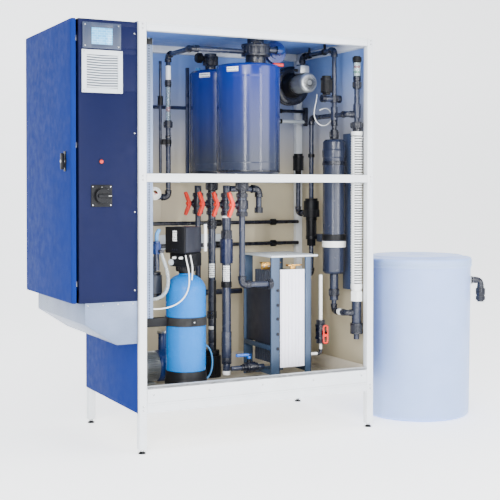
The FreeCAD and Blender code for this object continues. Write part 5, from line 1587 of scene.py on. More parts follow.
        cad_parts["blower_rotor"].data.materials.append(CAST.material())

    def columns(self) -> None:
        """Makes the separator column and the finned column."""
        column = Solid("separator")
        place = stand(self.column_x, self.column_y, 820)
        profile = [(0, 0), (30, 0), (52, 4), (63, 16), (63, 148), (65.6, 150), (65.6, 184), (63, 186),
                (63, 640), (65.8, 646), (65.8, 682), (63, 688), (63, 728), (50, 742), (0, 746)]
        column.turned(profile, place, COLUMN, 2.0, 80)
        column.turned([(62, 150), (65.9, 150), (65.9, 184), (62, 184)], place, WHITE, 1.0, 80,
                closed=True)
        column.turned([(62, 188), (65.9, 188), (65.9, 221), (62, 221)], place, BLACK, 1.2, 80,
                closed=True)
        column.turned([(62, 600), (65.9, 602), (65.9, 622), (62, 624)], place, DARK_PVC, 1.2, 80,
                closed=True)
        UpperBay.label(column, self.column_x, self.column_y, 63, 1462, 30, math.radians(238), 0.55, LABEL)
        self.keep(column, Body.SKID, "column_plastic", "separator_column")
        fins = Solid("finned_column")
        base = stand(self.riser_x, self.riser_y, 746)
        # The dark core between the white fins is painted shade: the shade deep in the grooves.
        for low, high, wide, tint in ((0, 29.5, 32, WHITE), (29.5, 834, 22, COVER),
                (834, 856, 32, WHITE)):
            fins.turned([(0, low), (wide, low), (wide, high), (0, high)], base, tint, 1.2, 40)
        fin = Solid("column_fin")
        fin.turned([(21.5, 0), (32, 0.6), (32, 8.4), (21.5, 9)], ORIGIN, WHITE, 1.4, 40, closed=True)
        fins.repeat(fin, 57, base @ Matrix.Translation((0, 0, 0.035)), (0, 0, 14))
        spine = looking(at(self.riser_x, self.riser_y, 776), Along.UP)
        fins.block((-31.5, -10, 0), (-19, 8, 800), WHITE, 3.0, spine)
        self.keep(fins, Body.SKID, "white_plastic", "ribbed_column")

    def pipes(self) -> None:
        """Makes the pipes, unions and stays of the upper bay."""
        pipes = Solid("upper_pipework")
        fx, fy = self.feed_x, self.feed_y
        cx, cy = self.column_x, self.column_y
        rx, ry = self.riser_x, self.riser_y
        front = self.tank_ys[0]
        pipes.route([at(fx, fy, 1881), at(fx, fy, 2016), at(fx, front, 2016), at(665.7, front, 2016)],
                13.5, GREY_PVC, DARK_PVC)
        pipes.fitting([(17, 8), (19, 22, Edge.RIBBED, DARK_PVC), (17, 8)], at(fx, fy, 1842.7), Along.UP,
                DARK_PVC)
        pipes.fitting([(14.4, 76, WHITE)], at(fx, fy, 1881), Along.UP, WHITE)
        pipes.fitting([(13.5, 180), (16, 16, DARK_PVC), (13.5, 28), (16, 16, DARK_PVC), (13.5, 40.7),
                (24, 8, DARK_PVC), (26, 24, Edge.RIBBED, DARK_PVC), (20, 8, DARK_PVC)], at(fx, fy, 1341),
                Along.UP, GREY_PVC)
        pipes.fitting([(13.5, 48)], at(fx, fy, 1292.8), Along.UP, GREY_PVC)
        pipes.block((fx - 38, fy - 17, 1530), (fx - 16, fy + 17, 1560), BLACK, 2.0)
        pipes.ring(13.6, 18, 26, stand(fx, fy, 1532), BLACK, 1.5)
        pipes.fitting([(8, 400), (17, 6, Edge.HEX, BLACK), (15, 38, BLACK), (17, 6, Edge.HEX, BLACK),
                (8, 190)], at(fx - 32, fy + 34, 1345), Along.UP, GREY_PVC)
        pipes.fitting([(10, 526)], at(2.3, 650, 1742), Along.RIGHT, STAY_BLUE)
        pipes.block((529, 641.5, 1367), (546, 658.5, 1967), STAY_BLUE, 1.5)
        pipes.route([at(cx, 561, self.blower_z + 126.3), at(cx, 561, 2056), at(cx, cy, 2056),
                at(cx, cy, 1806)], 13.5, GREY_PVC, DARK_PVC)
        for y in (300, 470):
            pipes.ring(13.6, 18.5, 18, looking(at(cx, y, 2056), Along.BACK), BLACK, 1.5)
            pipes.block((cx - 5, y + 3, 2073), (cx + 5, y + 15, 2098.5), BLACK, 1.0)
        pipes.fitting([(25, 10), (27, 30, Edge.RIBBED, DARK_PVC), (22, 10), (14, 22)], at(cx, cy, 1566.3),
                Along.UP, DARK_PVC)
        pipes.fitting([(18.5, 30), (20, 74, GREY_PVC), (14, 24, GREY_PVC), (22, 8), (24, 23, Edge.RIBBED),
                (20, 8.2)], at(cx, cy, 1638.5), Along.UP, DARK_PVC)
        pipes.fitting([(21, 24, Edge.RIBBED), (17, 84, GREY_PVC), (21, 12)], at(cx - 82, cy, 1786),
                Along.RIGHT, DARK_PVC)
        pipes.route([at(cx, cy + 20.3, 1695), at(cx, 455, 1695), at(cx, 455, 1236.3)], 13.5, GREY_PVC,
                DARK_PVC)
        pipes.route([at(cx, cy - 20.3, 1695), at(cx, ry, 1695), at(rx - 20.3, ry, 1695)], 13.5, GREY_PVC,
                DARK_PVC)
        pipes.ring(13.6, 19, 20, stand(cx, 455, 1470), BLACK, 1.5)
        pipes.fitting([(24, 18, Edge.RIBBED), (34, 4), (36, 24, Edge.RIBBED), (30, 4),
                (14.5, 24, GREY_PVC), (20, 76, GREY_PVC), (14.5, 82, GREY_PVC), (22, 8),
                (25, 28, Edge.RIBBED), (20, 8), (21, 23.9)], at(rx, ry, 1602.3), Along.UP, DARK_PVC)
        pipes.fitting([(22, 8), (25, 22, Edge.RIBBED), (18, 6)], at(rx, ry, 1974.5), Along.UP, BLACK)
        for z, finish in ((1690, PALE_GREY), (1751, DARK_PVC)):
            pipes.fitting([(10, 425)], at(900, 716, z), Along.RIGHT, finish)
            for x in (930, 1160):
                pipes.ring(10.1, 14, 14, looking(at(x, 716, z), Along.RIGHT), BLACK, 1.0)
        pipes.block((1325.3, 701, 1665), (1345.3, 731, 1775), DARK_PVC, 2.0)
        self.keep(pipes, Body.SKID, "grey_fittings", "upper_pipes")

    def tubes(self) -> None:
        """Makes the clear tubes and the red float."""
        tubes = Solid("clear_tubes")
        tubes.ring(10.6, 13.5, 180, stand(self.feed_x, self.feed_y, 1662.2), GLASS, 0.6, 32)
        tubes.ring(17, 21, 72, stand(self.riser_x, self.riser_y, 1902.5), GLASS, 0.6, 36)
        for rise, tint in ((0, WHITE), (14, GREEN), (28, WHITE), (42, RED), (56, WHITE)):
            tubes.disc(15.5, 13.6, stand(self.riser_x, self.riser_y, 1903 + rise), tint, 0.6, 28)
        tick = Solid("scale_tick")
        tick.block((-3.2, -0.5, 0), (3.2, 0.5, 0.7), BLACK, 0.2, ORIGIN)
        tubes.repeat(tick, 16, looking(at(self.feed_x, self.feed_y - 13.2, 1680), Along.FRONT), (0, 9, 0))
        self.keep(tubes, Body.SKID, "clear_glass", "sight_tubes")
        floater = Solid("float_bob")
        floater.turned([(0, 0), (4, 1), (7, 6), (9.5, 18), (9.5, 25), (8.6, 27), (0, 27)],
                stand(self.feed_x, self.feed_y, 1708), RED, 1.0, 28)
        self.keep(floater, Body.FLOAT, "red_plastic", "rotameter_float")

    def actuators(self) -> None:
        """Makes the electric valves with ribbed housings and cable glands."""
        valves = Solid("electric_valves")
        cx, cy = self.column_x, self.column_y
        for base, low, high in ((at(cx - 50, cy, 1807.3), (26, 12), (33, 80)),
                (at(cx - 4, 600, 1368), (20, 30), (32, 86))):
            valves.fitting([(*low, Edge.HEX), (high[0], 8), (high[0] - 1.5, high[1] - 22, Edge.RIBBED),
                    (high[0], 14), (26, 11)], base, Along.UP, BLACK)
            button = base + Vector((0, 0, (low[1] + high[1] + 10.5) / 1000))
            valves.disc(9, 1.2, Matrix.Translation(button), RED, 0.4)
        valves.fitting([(28, 36, Edge.HEX), (32, 20), (30, 88, Edge.RIBBED), (32, 20),
                (47, 40, Edge.RIBBED), (44, 52), (36, 14)], at(cx, 455, 966), Along.UP, BLACK)
        valves.block((1258.3, 407, 988), (1310.3, 455, 1032), MID_GREY, 4.0)
        valves.fitting([(10, 16, Edge.HEX)], at(1278, 407, 1010), Along.FRONT, BLACK)
        self.keep(valves, Body.SKID, "black_plastic", "motor_valves")


# ---------------------------------------------------------------------------------- lower bay


@dataclass
class Manifold(Assembly):
    """The row of hand valves, the small valves, the gauge and the pipes below them."""

    x: float = 625
    z: float = 1208
    ys: tuple[float, ...] = (140, 327, 514, 701)
    second_foot: float = 291
    third_foot: float = 441.7
    drain_x: float = 712
    drain_y: float = 232
    dosing_x: float = 1146
    dosing_y: float = 215
    inlet_x: float = 150
    inlet_y: float = 150
    column_x: float = 1226
    column_y: float = 205
    riser_x: float = 1290
    riser_y: float = 75
    feed_x: float = 372
    feed_y: float = 530
    gauge_x: float = 272

    def build(self) -> None:
        """Makes the valves, their handles and the lower pipes."""
        self.valves()
        self.levers()
        self.small_handles()
        self.pipes()
        self.gauge()

    def valves(self) -> None:
        """Makes the valve bodies with ribbed union nuts."""
        valves = Solid("valve_bodies")
        for y in self.ys:
            valves.fitting([(29, 4), (31, 18, Edge.RIBBED), (27, 4), (26, 12, GREY_PVC),
                    (33, 46, VALVE_NAVY), (26, 12, GREY_PVC), (27, 4), (31, 18, Edge.RIBBED), (29, 4)],
                    at(self.x, y, self.z - 61), Along.UP, VALVE_NAVY)
            valves.fitting([(15, 35.8), (13, 10)], at(self.x, y, self.z), Along.LEFT, DARK_PVC)
        valves.fitting([(16, 14), (22, 16, Edge.RIBBED), (28, 10), (30, 30), (28, 10),
                (22, 16, Edge.RIBBED)], at(666, self.drain_y, 338), Along.RIGHT, VALVE_NAVY)
        valves.fitting([(11, 32), (9, 10)], at(self.drain_x, self.drain_y, 342), Along.UP, BLACK)
        valves.fitting([(24, 24, Edge.RIBBED), (30, 12), (28, 56), (30, 12), (24, 24, Edge.RIBBED)],
                at(self.dosing_x, self.dosing_y, 441), Along.UP, VALVE_NAVY)
        valves.fitting([(8, 38)], at(self.dosing_x, self.dosing_y, 505), Along.FRONT, DARK_PVC)
        valves.fitting([(23, 50, Edge.RIBBED), (17, 14)], at(self.inlet_x, self.inlet_y, 964), Along.UP,
                VALVE_BLUE)
        valves.block((151, 107, 972), (175, 150, 986), DARK_PVC, 2.0)
        self.keep(valves, Body.SKID, "grey_fittings", "valve_bodies")

    def levers(self) -> None:
        """Makes the four winged handles."""
        outline = [(-68, 12), (-62, 24), (-36, 17), (-14, 7), (0, 5), (14, 7), (36, 17), (62, 24),
                (68, 12), (36, -3), (15, -12), (-15, -12), (-36, -3)]
        for count, y in enumerate(self.ys, start=1):
            lever = Solid("valve_handle_%d" % count)
            matrix = looking(at(self.x - 60, y + 13, self.z), Along.FRONT)
            matrix = matrix @ Matrix.Rotation(math.pi / 2, 4, "Z")
            lever.shape(outline, 26, matrix, ORANGE, 3.0)
            lever.fitting([(12, 12), (9, 14)], at(self.x - 46.3, y, self.z), Along.LEFT, ORANGE)
            lever.disc(6, 1, looking(at(self.x - 65.2, y, self.z), Along.LEFT), DARK_PVC, 0.3)
            self.keep(lever, Body("lever_%d" % count), "orange_plastic", "valve_lever_%d" % count)

    def small_handles(self) -> None:
        """Makes the drain lever, the ring handle and the inlet lever."""
        drain = Solid("drain_lever_blue")
        outline = [(-10, -9), (6, -11), (40, -8), (72, -8.5), (78, -3), (78, 3), (72, 8.5), (40, 8),
                (6, 11), (-10, 9)]
        place = stand(self.drain_x, self.drain_y, 398) @ Matrix.Rotation(math.pi, 4, "Z")
        drain.shape(outline, 15, place, LEVER_BLUE, 3.0)
        drain.fitting([(12, 13.7), (11, 15, BLACK)], at(self.drain_x, self.drain_y, 384.3), Along.UP,
                LEVER_BLUE)
        self.keep(drain, Body.DRAIN, "blue_plastic", "drain_lever")
        ring = Solid("ring_pull")
        loop = [at(1146 + x, 162, 495 + z) for x, z in ((0, 48), (12, 46), (12.5, 0), (12, -46),
                (-12, -46), (-12.5, 0), (-12, 46), (0, 48))]
        ring.sweep(loop, 5.0, ORANGE, 8.0)
        ring.block((1137, 157, 482), (1155, 168, 512), ORANGE, 3.0)
        ring.fitting([(9, 19.7, BLACK)], at(1146, 176.7, 505), Along.FRONT, ORANGE)
        self.keep(ring, Body.DOSING, "orange_plastic", "dosing_handle")
        inlet = Solid("inlet_wing")
        wing = [(-9, -8), (9, -8), (10, 18), (22, 44), (18, 50), (6, 50), (-7, 30), (-9, 16)]
        inlet.shape(wing, 12, looking(at(150, 156, 1040), Along.FRONT), SKY_BLUE, 3.0)
        inlet.fitting([(8, 6), (9, 6)], at(self.inlet_x, self.inlet_y, 1028.3), Along.UP, SKY_BLUE)
        self.keep(inlet, Body.INLET, "pale_blue_plastic", "inlet_lever")

    def pipes(self) -> None:
        """Makes the lower pipes, their unions, labels and clamps."""
        pipes = Solid("lower_pipework")
        x, ys = self.x, self.ys
        top, low = self.z + 61.3, self.z - 61.3
        cx, cy = self.column_x, self.column_y
        rx, ry = self.riser_x, self.riser_y
        fx, fy = self.feed_x, self.feed_y
        for y in (ys[0], ys[2]):
            pipes.fitting([(22, 14), (33, 5), (35, 36, Edge.RIBBED), (30, 4), (20, 37.4, GREY_PVC)],
                    at(x, y, top), Along.UP, DARK_PVC)
        for y in (ys[1], ys[3]):
            pipes.fitting([(20, 40)], at(x, y, top), Along.UP, GREY_PVC)
        pipes.route([at(x, ys[0], low), at(x, ys[0], 790), at(776.7, ys[0], 790)], 16, GREY_PVC, DARK_PVC)
        pipes.fitting([(25, 6), (27, 18, Edge.RIBBED)], at(777, ys[0], 790), Along.RIGHT, DARK_PVC)
        pipes.fitting([(21, 21, WHITE), (20, 38), (27, 34, Edge.RIBBED, DARK_PVC), (27, 139), (24, 239),
                (29, 30, BLACK), (24, 100), (35, 129, SLEEVE), (28, 4), (30, 43, Edge.RIBBED, DARK_PVC),
                (24, 67.7), (24.4, 11, WHITE)], at(x, ys[1], self.second_foot), Along.UP, GREY_PVC)
        pipes.fitting([(21, 72), (18.5, 19, WHITE), (21, 42), (27, 39, Edge.RIBBED, DARK_PVC), (21, 455),
                (25, 6, DARK_PVC), (27, 38, Edge.RIBBED, DARK_PVC), (25, 6, DARK_PVC), (21, 28)],
                at(x, ys[2], self.third_foot), Along.UP, GREY_PVC)
        facing = math.radians(242)
        UpperBay.label(pipes, x, ys[1], 24, 796, 85, facing, 0.8, LABEL)
        UpperBay.label(pipes, x, ys[2], 21, 800, 80, facing, 0.8, LABEL)
        pipes.route([at(x, ys[3], low), at(x, ys[3], 700), at(900, ys[3], 700)], 16, GREY_PVC, DARK_PVC)
        pipes.route([at(x + 20.3, ys[1], 1291), at(820, ys[1], 1291), at(820, ys[1], 1190)], 16, GREY_PVC,
                DARK_PVC)
        pipes.fitting([(23, 30, Edge.RIBBED)], at(820, ys[1], 1189.7), Along.DOWN, DARK_PVC)
        pipes.fitting([(50, 118, Edge.RIBBED, BLACK), (42, 30, BLACK), (21, 41.6)], at(x, ys[2], 251.8),
                Along.UP, GREY_PVC)
        pipes.route([at(cx, 455, 965.7), at(cx, 455, 800), at(1052, 455, 800)], 13.5, GREY_PVC, DARK_PVC)
        pipes.route([at(1222, 600, 1367.7), at(1222, 600, 1150), at(1222, 502.4, 1150)], 13.5, GREY_PVC,
                DARK_PVC)
        pipes.fitting([(7, 380)], at(596, 412, 414), Along.UP, BLACK)
        pipes.route([at(fx, fy, 1292.5), at(fx, fy, 1246), at(260, fy, 1246)], 13.5, GREY_PVC, DARK_PVC)
        pipes.fitting([(7, 14)], at(self.gauge_x, 516.2, 1246), Along.FRONT, STEEL)
        for z in (1094, 968):
            pipes.fitting([(11, 1100)], at(205, 748, z), Along.RIGHT, DARK_PVC)
            for clamp in (330, 760, 1120):
                pipes.ring(11.1, 19, 30, looking(at(clamp, 748, z), Along.RIGHT), BLACK, 1.5)
        pipes.fitting([(24, 21.7), (27, 6, DARK_PVC), (30, 30, Edge.RIBBED, DARK_PVC), (28, 6, DARK_PVC),
                (24, 80)], at(cx, cy, 676), Along.UP, GREY_PVC)
        pipes.route([at(cx, cy, 675.7), at(cx, cy, 618), at(cx, ry, 618), at(rx - 26.3, ry, 618)], 13.5,
                GREY_PVC, DARK_PVC)
        pipes.fitting([(15, 30, GREY_PVC), (35, 10, DARK_PVC), (34, 38, Edge.RIBBED, DARK_PVC),
                (35, 10, DARK_PVC), (26, 120, GREY_PVC), (35, 54, Edge.HEX, WHITE), (28, 11.7, WHITE)],
                at(rx, ry, 472), Along.UP, WHITE)
        pipes.ring(13.7, 17, 30, looking(at(cx, 125, 618), Along.BACK), WHITE, 1.2)
        pipes.route([at(1060, self.dosing_y, 386), at(self.dosing_x, self.dosing_y, 386),
                at(self.dosing_x, self.dosing_y, 440.7)], 8, WHITE, DARK_PVC)
        pipes.fitting([(10, 249)], at(self.dosing_x, self.dosing_y, 569.3), Along.UP, WHITE)
        pipes.fitting([(8, 139)], at(426, 164, 970), Along.UP, WHITE)
        pipes.fitting([(38, 8), (44, 6), (42, 20, Edge.RIBBED), (44, 94, MID_GREY), (38, 16), (15, 80)],
                at(206, 330, 716), Along.UP, DARK_PVC)
        pipes.fitting([(15, 84)], at(self.inlet_x, self.inlet_y, 879.7), Along.UP, GREY_PVC)
        pipes.fitting([(13, 60)], at(605.7, self.drain_y, 338), Along.RIGHT, GREY_PVC)
        pipes.fitting([(13, 40)], at(762.3, self.drain_y, 338), Along.RIGHT, GREY_PVC)
        for sx, sz in ((300, 420), (520, 420), (1120, 1880)):
            pipes.fitting([(24, 64.3), (32, 14, Edge.RIBBED, DARK_PVC), (24, 43.7)], at(sx, 753, sz),
                    Along.BACK, GREY_PVC)
        self.keep(pipes, Body.SKID, "grey_fittings", "lower_pipes")

    def gauge(self) -> None:
        """Makes the round gauge with a scale and its needle."""
        base = at(self.gauge_x, 501.9, 1266)
        gauge = Solid("gauge_case")
        place = looking(base, Along.FRONT)
        gauge.turned([(0, 0), (28, 0), (34, 6), (34, 26), (35, 28), (35, 31), (31, 31), (31, 27),
                (0, 26.6)], place, WHITE, 1.0, 56)
        gauge.turned([(0, 26), (30.6, 26), (30.6, 27.4), (1.6, 27.4), (0, 26.4)], place, WHITE, 0.3, 56)
        tick = Solid("dial_tick")
        tick.block((24, -0.6, 27.2), (29, 0.6, 27.9), BLACK, 0.2, ORIGIN)
        dial = place @ Matrix.Rotation(math.radians(-45), 4, "Z")
        gauge.repeat(tick, 19, dial, turn=math.radians(15))
        band = Solid("dial_band")
        band.block((4, -2.4, 27.2), (17, 2.4, 27.8), GREEN, 0.2, ORIGIN)
        gauge.repeat(band, 8, place @ Matrix.Rotation(math.radians(50), 4, "Z"), turn=math.radians(10))
        band = Solid("dial_band_red")
        band.block((4, -2.4, 27.2), (17, 2.4, 27.8), RED, 0.2, ORIGIN)
        gauge.repeat(band, 5, place @ Matrix.Rotation(math.radians(40), 4, "Z"), turn=math.radians(-10))
        self.keep(gauge, Body.SKID, "gauge_steel", "pressure_gauge")
        needle = Solid("needle")
        needle.shape([(-2, -8), (2, -8), (0.5, 23), (-0.5, 23)], 0.8,
                looking(base + Vector((0, -0.029, 0)), Along.FRONT), RED, 0.1)
        needle.fitting([(1.4, 11)], base + Vector((0, -0.0188, 0)), Along.FRONT, BLACK)
        self.keep(needle, Body.NEEDLE, "red_plastic", "gauge_needle")


@dataclass
class Softener(Assembly):
    """The softener vessel with its foot, strap, valve head and timer."""

    x: float = 327
    y: float = 190
    radius: float = 103
    foot: float = 251.2
    strap: float = 594
    head: float = 858.7
    timer_x: float = 315

    def build(self) -> None:
        """Makes every piece of the softener."""
        vessel = Solid("vessel")
        dome = [(self.radius * max(math.cos(math.radians(a)), 0.34), 408 + 86 * math.sin(math.radians(a)))
                for a in range(0, 91, 6)]
        profile = [(0, 0), (self.radius, 0), (self.radius, 408)] + dome[1:] + [(0, 494)]
        place = stand(self.x, self.y, 364.5)
        vessel.turned(profile, place, SOFT_BLUE, 0.5, 88)
        self.keep(vessel, Body.SKID, "cyan_plastic", "softener_vessel")
        mounts = Solid("foot_and_strap")
        foot = stand(self.x, self.y, self.foot)
        mounts.turned([(0, 0), (108, 0), (109, 4), (109, 66), (106, 72), (105, 113.1), (0, 113.1)], foot,
                BLACK, 2.0, 80)
        rib = Solid("foot_rib")
        rib.block((105, -1.2, 4), (108.9, 1.2, 64), BLACK, 0.5, ORIGIN)
        mounts.repeat(rib, 36, foot, turn=math.pi / 18)
        mounts.ring(103.3, 107.5, 45, stand(self.x, self.y, self.strap), RUBBER, 1.2, 80)
        mounts.block((98, self.y - 20, self.strap), (222, self.y + 20, self.strap + 45), BLACK, 3.0)
        mounts.block((self.x - 14, self.y - 110, 598), (self.x + 14, self.y - 106, 635), BLACK, 1.5)
        screws(mounts, at(self.x, self.y - 109.8, 616), Along.FRONT, 1, radius=5)
        self.keep(mounts, Body.SKID, "black_plastic", "softener_mounts")
        head = Solid("valve_head")
        matrix = stand(self.x, self.y, self.head) @ Matrix.Rotation(math.radians(-60), 4, "Z")
        head.fitting([(36, 10), (50, 8), (52, 18.5, Edge.RIBBED)], at(self.x, self.y, self.head),
                Along.UP, BLACK)
        head.block((-59, -60, 36), (59, 60, 106), BLACK, 6.0, matrix)
        for shift in (-30, 0, 30):
            head.turned([(0, 0), (12, 0), (12, 14), (9, 16), (0, 16)],
                    matrix @ looking(Vector((shift / 1000, 0.044, 0.072)), Along.BACK), GREY_PVC, 1.0)
        for side in (-1, 1):
            head.fitting([(8, 9, Edge.HEX), (6, 12)], matrix @ Vector((side * 0.021, -0.0595, 0.082)),
                    matrix.to_3x3() @ Vector((0, -1, 0)), WHITE)
        head.fitting([(16, 7, Edge.RIBBED), (11, 8)], matrix @ Vector((-0.046, -0.0595, 0.058)),
                matrix.to_3x3() @ Vector((0, -1, 0)), PALE_GREY)
        matrix = matrix.copy()
        matrix.translation = at(self.timer_x, self.y, self.head)
        head.block((-60.5, -76, 106.3), (60.5, -60, 240.3), BLACK, 4.0, matrix)
        head.block((-12, -76.9, 168), (14, -75, 222), LABEL, 0.6, matrix)
        for shift in (-14, 0, 14):
            head.disc(4.6, 1.6, matrix @ looking(Vector((shift / 1000, -0.0755, 0.124)), Along.FRONT),
                    DARK_PVC, 0.5)
        self.keep(head, Body.SKID, "black_plastic", "softener_valve")
        cover = Solid("head_cover")
        cover.block((-59.5, -59.8, 106.3), (59.5, 78.2, 239.3), COVER, 8.0, matrix)
        slot = Solid("cover_slot")
        slot.block((-24, -1.1, 0), (24, 1.1, 0.8), DARK_PVC, 0.3, ORIGIN)
        cover.repeat(slot, 7, matrix @ looking(Vector((-0.0592, 0.02, 0.18)), Along.LEFT), (0, 8, 0))
        self.keep(cover, Body.SKID, "cover_plastic", "softener_cover")


@dataclass
class Pump(Assembly):
    """The transfer pump with its finned motor."""

    y: float = 460
    z: float = 345

    def build(self) -> None:
        """Makes the motor, hood and pump head."""
        pump = Solid("pump")
        drive = looking(at(122, self.y, self.z), Along.RIGHT)
        pump.ring(8.1, 70, 150, drive, CAST, 1.0)
        fin = Solid("pump_fin")
        fin.block((69, -1.3, 3), (79.6, 1.3, 146), CAST, 0.6, ORIGIN)
        pump.repeat(fin, 40, drive, turn=math.pi / 20)
        hood = looking(at(79.5, self.y, self.z), Along.RIGHT)
        pump.turned([(0, 0), (66, 0), (74, 6), (82, 14), (82, 42), (0, 42)], hood, BLACK, 2.0, 64)
        hole = Solid("hood_slot")
        hole.block((18, -1.8, -0.5), (60, 1.8, 1.0), DARK_PVC, 0.3, ORIGIN)
        pump.repeat(hole, 20, hood, turn=math.pi / 10)
        pump.block((140, self.y - 45, 251.5), (250, self.y + 45, 264), CAST, 2.0)
        head = looking(at(272.3, self.y, self.z), Along.RIGHT)
        pump.turned([(8.1, 0), (80, 0), (84, 5), (84, 62), (78, 68), (0, 68), (0, 58.2), (58, 58),
                (58, 12), (8.1, 12)], head, VALVE_BLUE, 2.5, 72)
        bolt = Solid("pump_bolt")
        bolt.disc(5, 4, Matrix.Translation((0.074, 0, 0.0655)), STEEL, 0.6, 6)
        pump.repeat(bolt, 8, head, turn=math.pi / 4)
        pump.fitting([(22, 96), (28, 4), (30, 12, Edge.HEX, STEEL)], at(307, self.y, self.z + 74),
                Along.UP, VALVE_BLUE)
        self.keep(pump, Body.SKID, "motor_metal", "transfer_pump")
        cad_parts["pump_rotor"].data.materials.clear()
        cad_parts["pump_rotor"].data.materials.append(CAST.material())


@dataclass
class Cell(Assembly):
    """The electrolysis cell: pressed plates between profiles."""

    left: float = 803
    front: float = 150
    low: float = 262
    top: float = 925

    def build(self) -> None:
        """Makes the profiles, plates, end plate, top plate and busbars."""
        x, y = self.left, self.front
        profiles = Solid("cell_profiles")
        for px, py, width in ((x, y, 54), (x + 210, y, 36), (x, y + 318, 54), (x + 210, y + 318, 36)):
            profiles.block((px, py, self.low), (px + width, py + 12, self.top), PROFILE, 1.5)
            if py == y:
                lip = px + width - 5
                profiles.block((lip, py - 0.6, self.low + 2), (lip + 3, py + 1, self.top - 2), DARK_PVC,
                        0.3)
        for rx, z in ((x, 300), (x, 430), (x + 236, 300)):
            profiles.block((rx, y + 12.2, z), (rx + 10, y + 317.8, z + 26), PROFILE, 1.5)
        for fy in (y, y + 318):
            profiles.block((x + 54.2, fy, self.low), (x + 209.8, fy + 12, self.low + 30), PROFILE, 1.5)
        profiles.block((x + 12, y + 14, 458), (x + 18, y + 314, 750), COVER, 1.0)
        for z in (438, 516, 597, 671, 750):
            profiles.fitting([(9, 2), (7.4, 5, Edge.HEX)], at(x + 40, y - 0.05, z), Along.FRONT, COVER)
        self.keep(profiles, Body.SKID, "steel", "cell_frame")
        stack = Solid("cell_stack")
        plate = Solid("stack_plate")
        plate.block((0, 0, 0), (150, 18, 500), MID_GREY, 1.5, ORIGIN)
        stack.repeat(plate, 11, stand(x + 57, y + 21, 345), (0, 26, 0))
        gasket = Solid("stack_gasket")
        gasket.block((3, 18.4, 4), (147, 25.6, 496), DARK_PVC, 1.0, ORIGIN)
        stack.repeat(gasket, 10, stand(x + 57, y + 21, 345), (0, 26, 0))
        self.keep(stack, Body.SKID, "cell_plates", "cell_plates")
        end = Solid("end_plate")
        end.block((x + 57.5, y + 5, 335), (x + 206.5, y + 15, 859), END_WHITE, 1.5)
        rib = Solid("end_rib")
        rib.block((-4.6, -255, 0), (4.6, 255, 5.0), END_WHITE, 1.8, ORIGIN)
        end.repeat(rib, 7, looking(at(x + 69, y + 6, 597), Along.FRONT), (21, 0, 0))
        self.keep(end, Body.SKID, "white_plastic", "cell_end_plate")
        lid = Solid("cell_cover")
        lid.block((x, y - 1, self.top + 0.3), (x + 286, y + 335, self.top + 10.3), PALE_GREY, 1.5)
        screws(lid, at(x + 14, y + 12, self.top + 10), Along.UP, 4, (86, 0, 0), 5)
        lid.block((x + 30, y + 30, self.top + 10), (x + 256, y + 305, self.top + 10.9), PALE_GREY, 0.4)
        self.keep(lid, Body.SKID, "white_plastic", "cell_top_plate")
        bars = Solid("copper_bars")
        for low, high in (((115, 22, 876), (201, 52, 884)), ((140, 40, 845.3), (170, 48, 875.3)),
                ((20, 150, 852), (80, 158, 886)), ((70, 240, 876), (190, 270, 884))):
            bars.block((x + low[0], y + low[1], low[2]), (x + high[0], y + high[1], high[2]), BRASS, 1.2)
        screws(bars, at(x + 135, y + 37, 884), Along.UP, 3, (26, 0, 0), 7)
        screws(bars, at(x + 35, y + 150, 868), Along.FRONT, 2, (30, 0, 0), 6)
        self.keep(bars, Body.SKID, "brass", "busbars")


# --------------------------------------------------------------------- brine tank, flexibles


@dataclass
class BrineTank(Assembly):
    """The round brine tank with its lid and angled fitting."""

    x: float = 1793
    y: float = 223

    def build(self) -> None:
        """Makes the tank, the lid and the fitting."""
        base = stand(self.x, self.y, 0)
        tank = Solid("brine_vessel")
        tank.turned([(0, 0), (280, 0), (286, 0), (300, 14), (301, 60), (309, 833), (310, 845), (310, 883),
                (302, 883), (302, 845), (295, 24), (284, 8), (0, 8)], base, BRINE, 4.0, 128)
        self.keep(tank, Body.SKID, "brine_plastic", "brine_tank")
        lid = Solid("brine_cover")
        place = base @ Matrix.Translation((0, 0, 0.8834))
        lid.turned([(0, 0), (310.4, 0), (310.4, -34), (312, -36), (315, -34), (315, -22), (313.6, -20),
                (315, -18), (315, 8), (307, 17), (275, 20), (258, 28), (250, 29), (60, 29), (44, 24),
                (0, 24)], place, LID, 3.0, 128)
        lid.turned([(0, 23), (36, 23), (36, 25.4), (30, 27), (0, 27)], place, LID, 1.0, 48)
        self.keep(lid, Body.LID, "brine_lid_plastic", "brine_lid")
        fitting = Solid("brine_outlet")
        angle = math.radians(-39)
        outward = Vector((math.cos(angle), math.sin(angle), 0))
        start = at(self.x, self.y, 770) + outward * 0.311
        fitting.fitting([(25, 8, Edge.HEX), (17, 4.4)], start, outward, DARK_PVC)
        spout = at(self.x, self.y, 770) + outward * 0.363
        reach = 0.0392
        fitting.route([spout - outward * reach, spout, spout - UP * reach], 14, DARK_PVC)
        fitting.fitting([(20, 6), (26, 4), (27, 32, Edge.RIBBED), (26, 4), (22, 6), (27, 22, Edge.RIBBED),
                (19, 10)], spout - UP * reach, Along.DOWN, DARK_PVC)
        self.keep(fitting, Body.SKID, "dark_fittings", "brine_fitting")


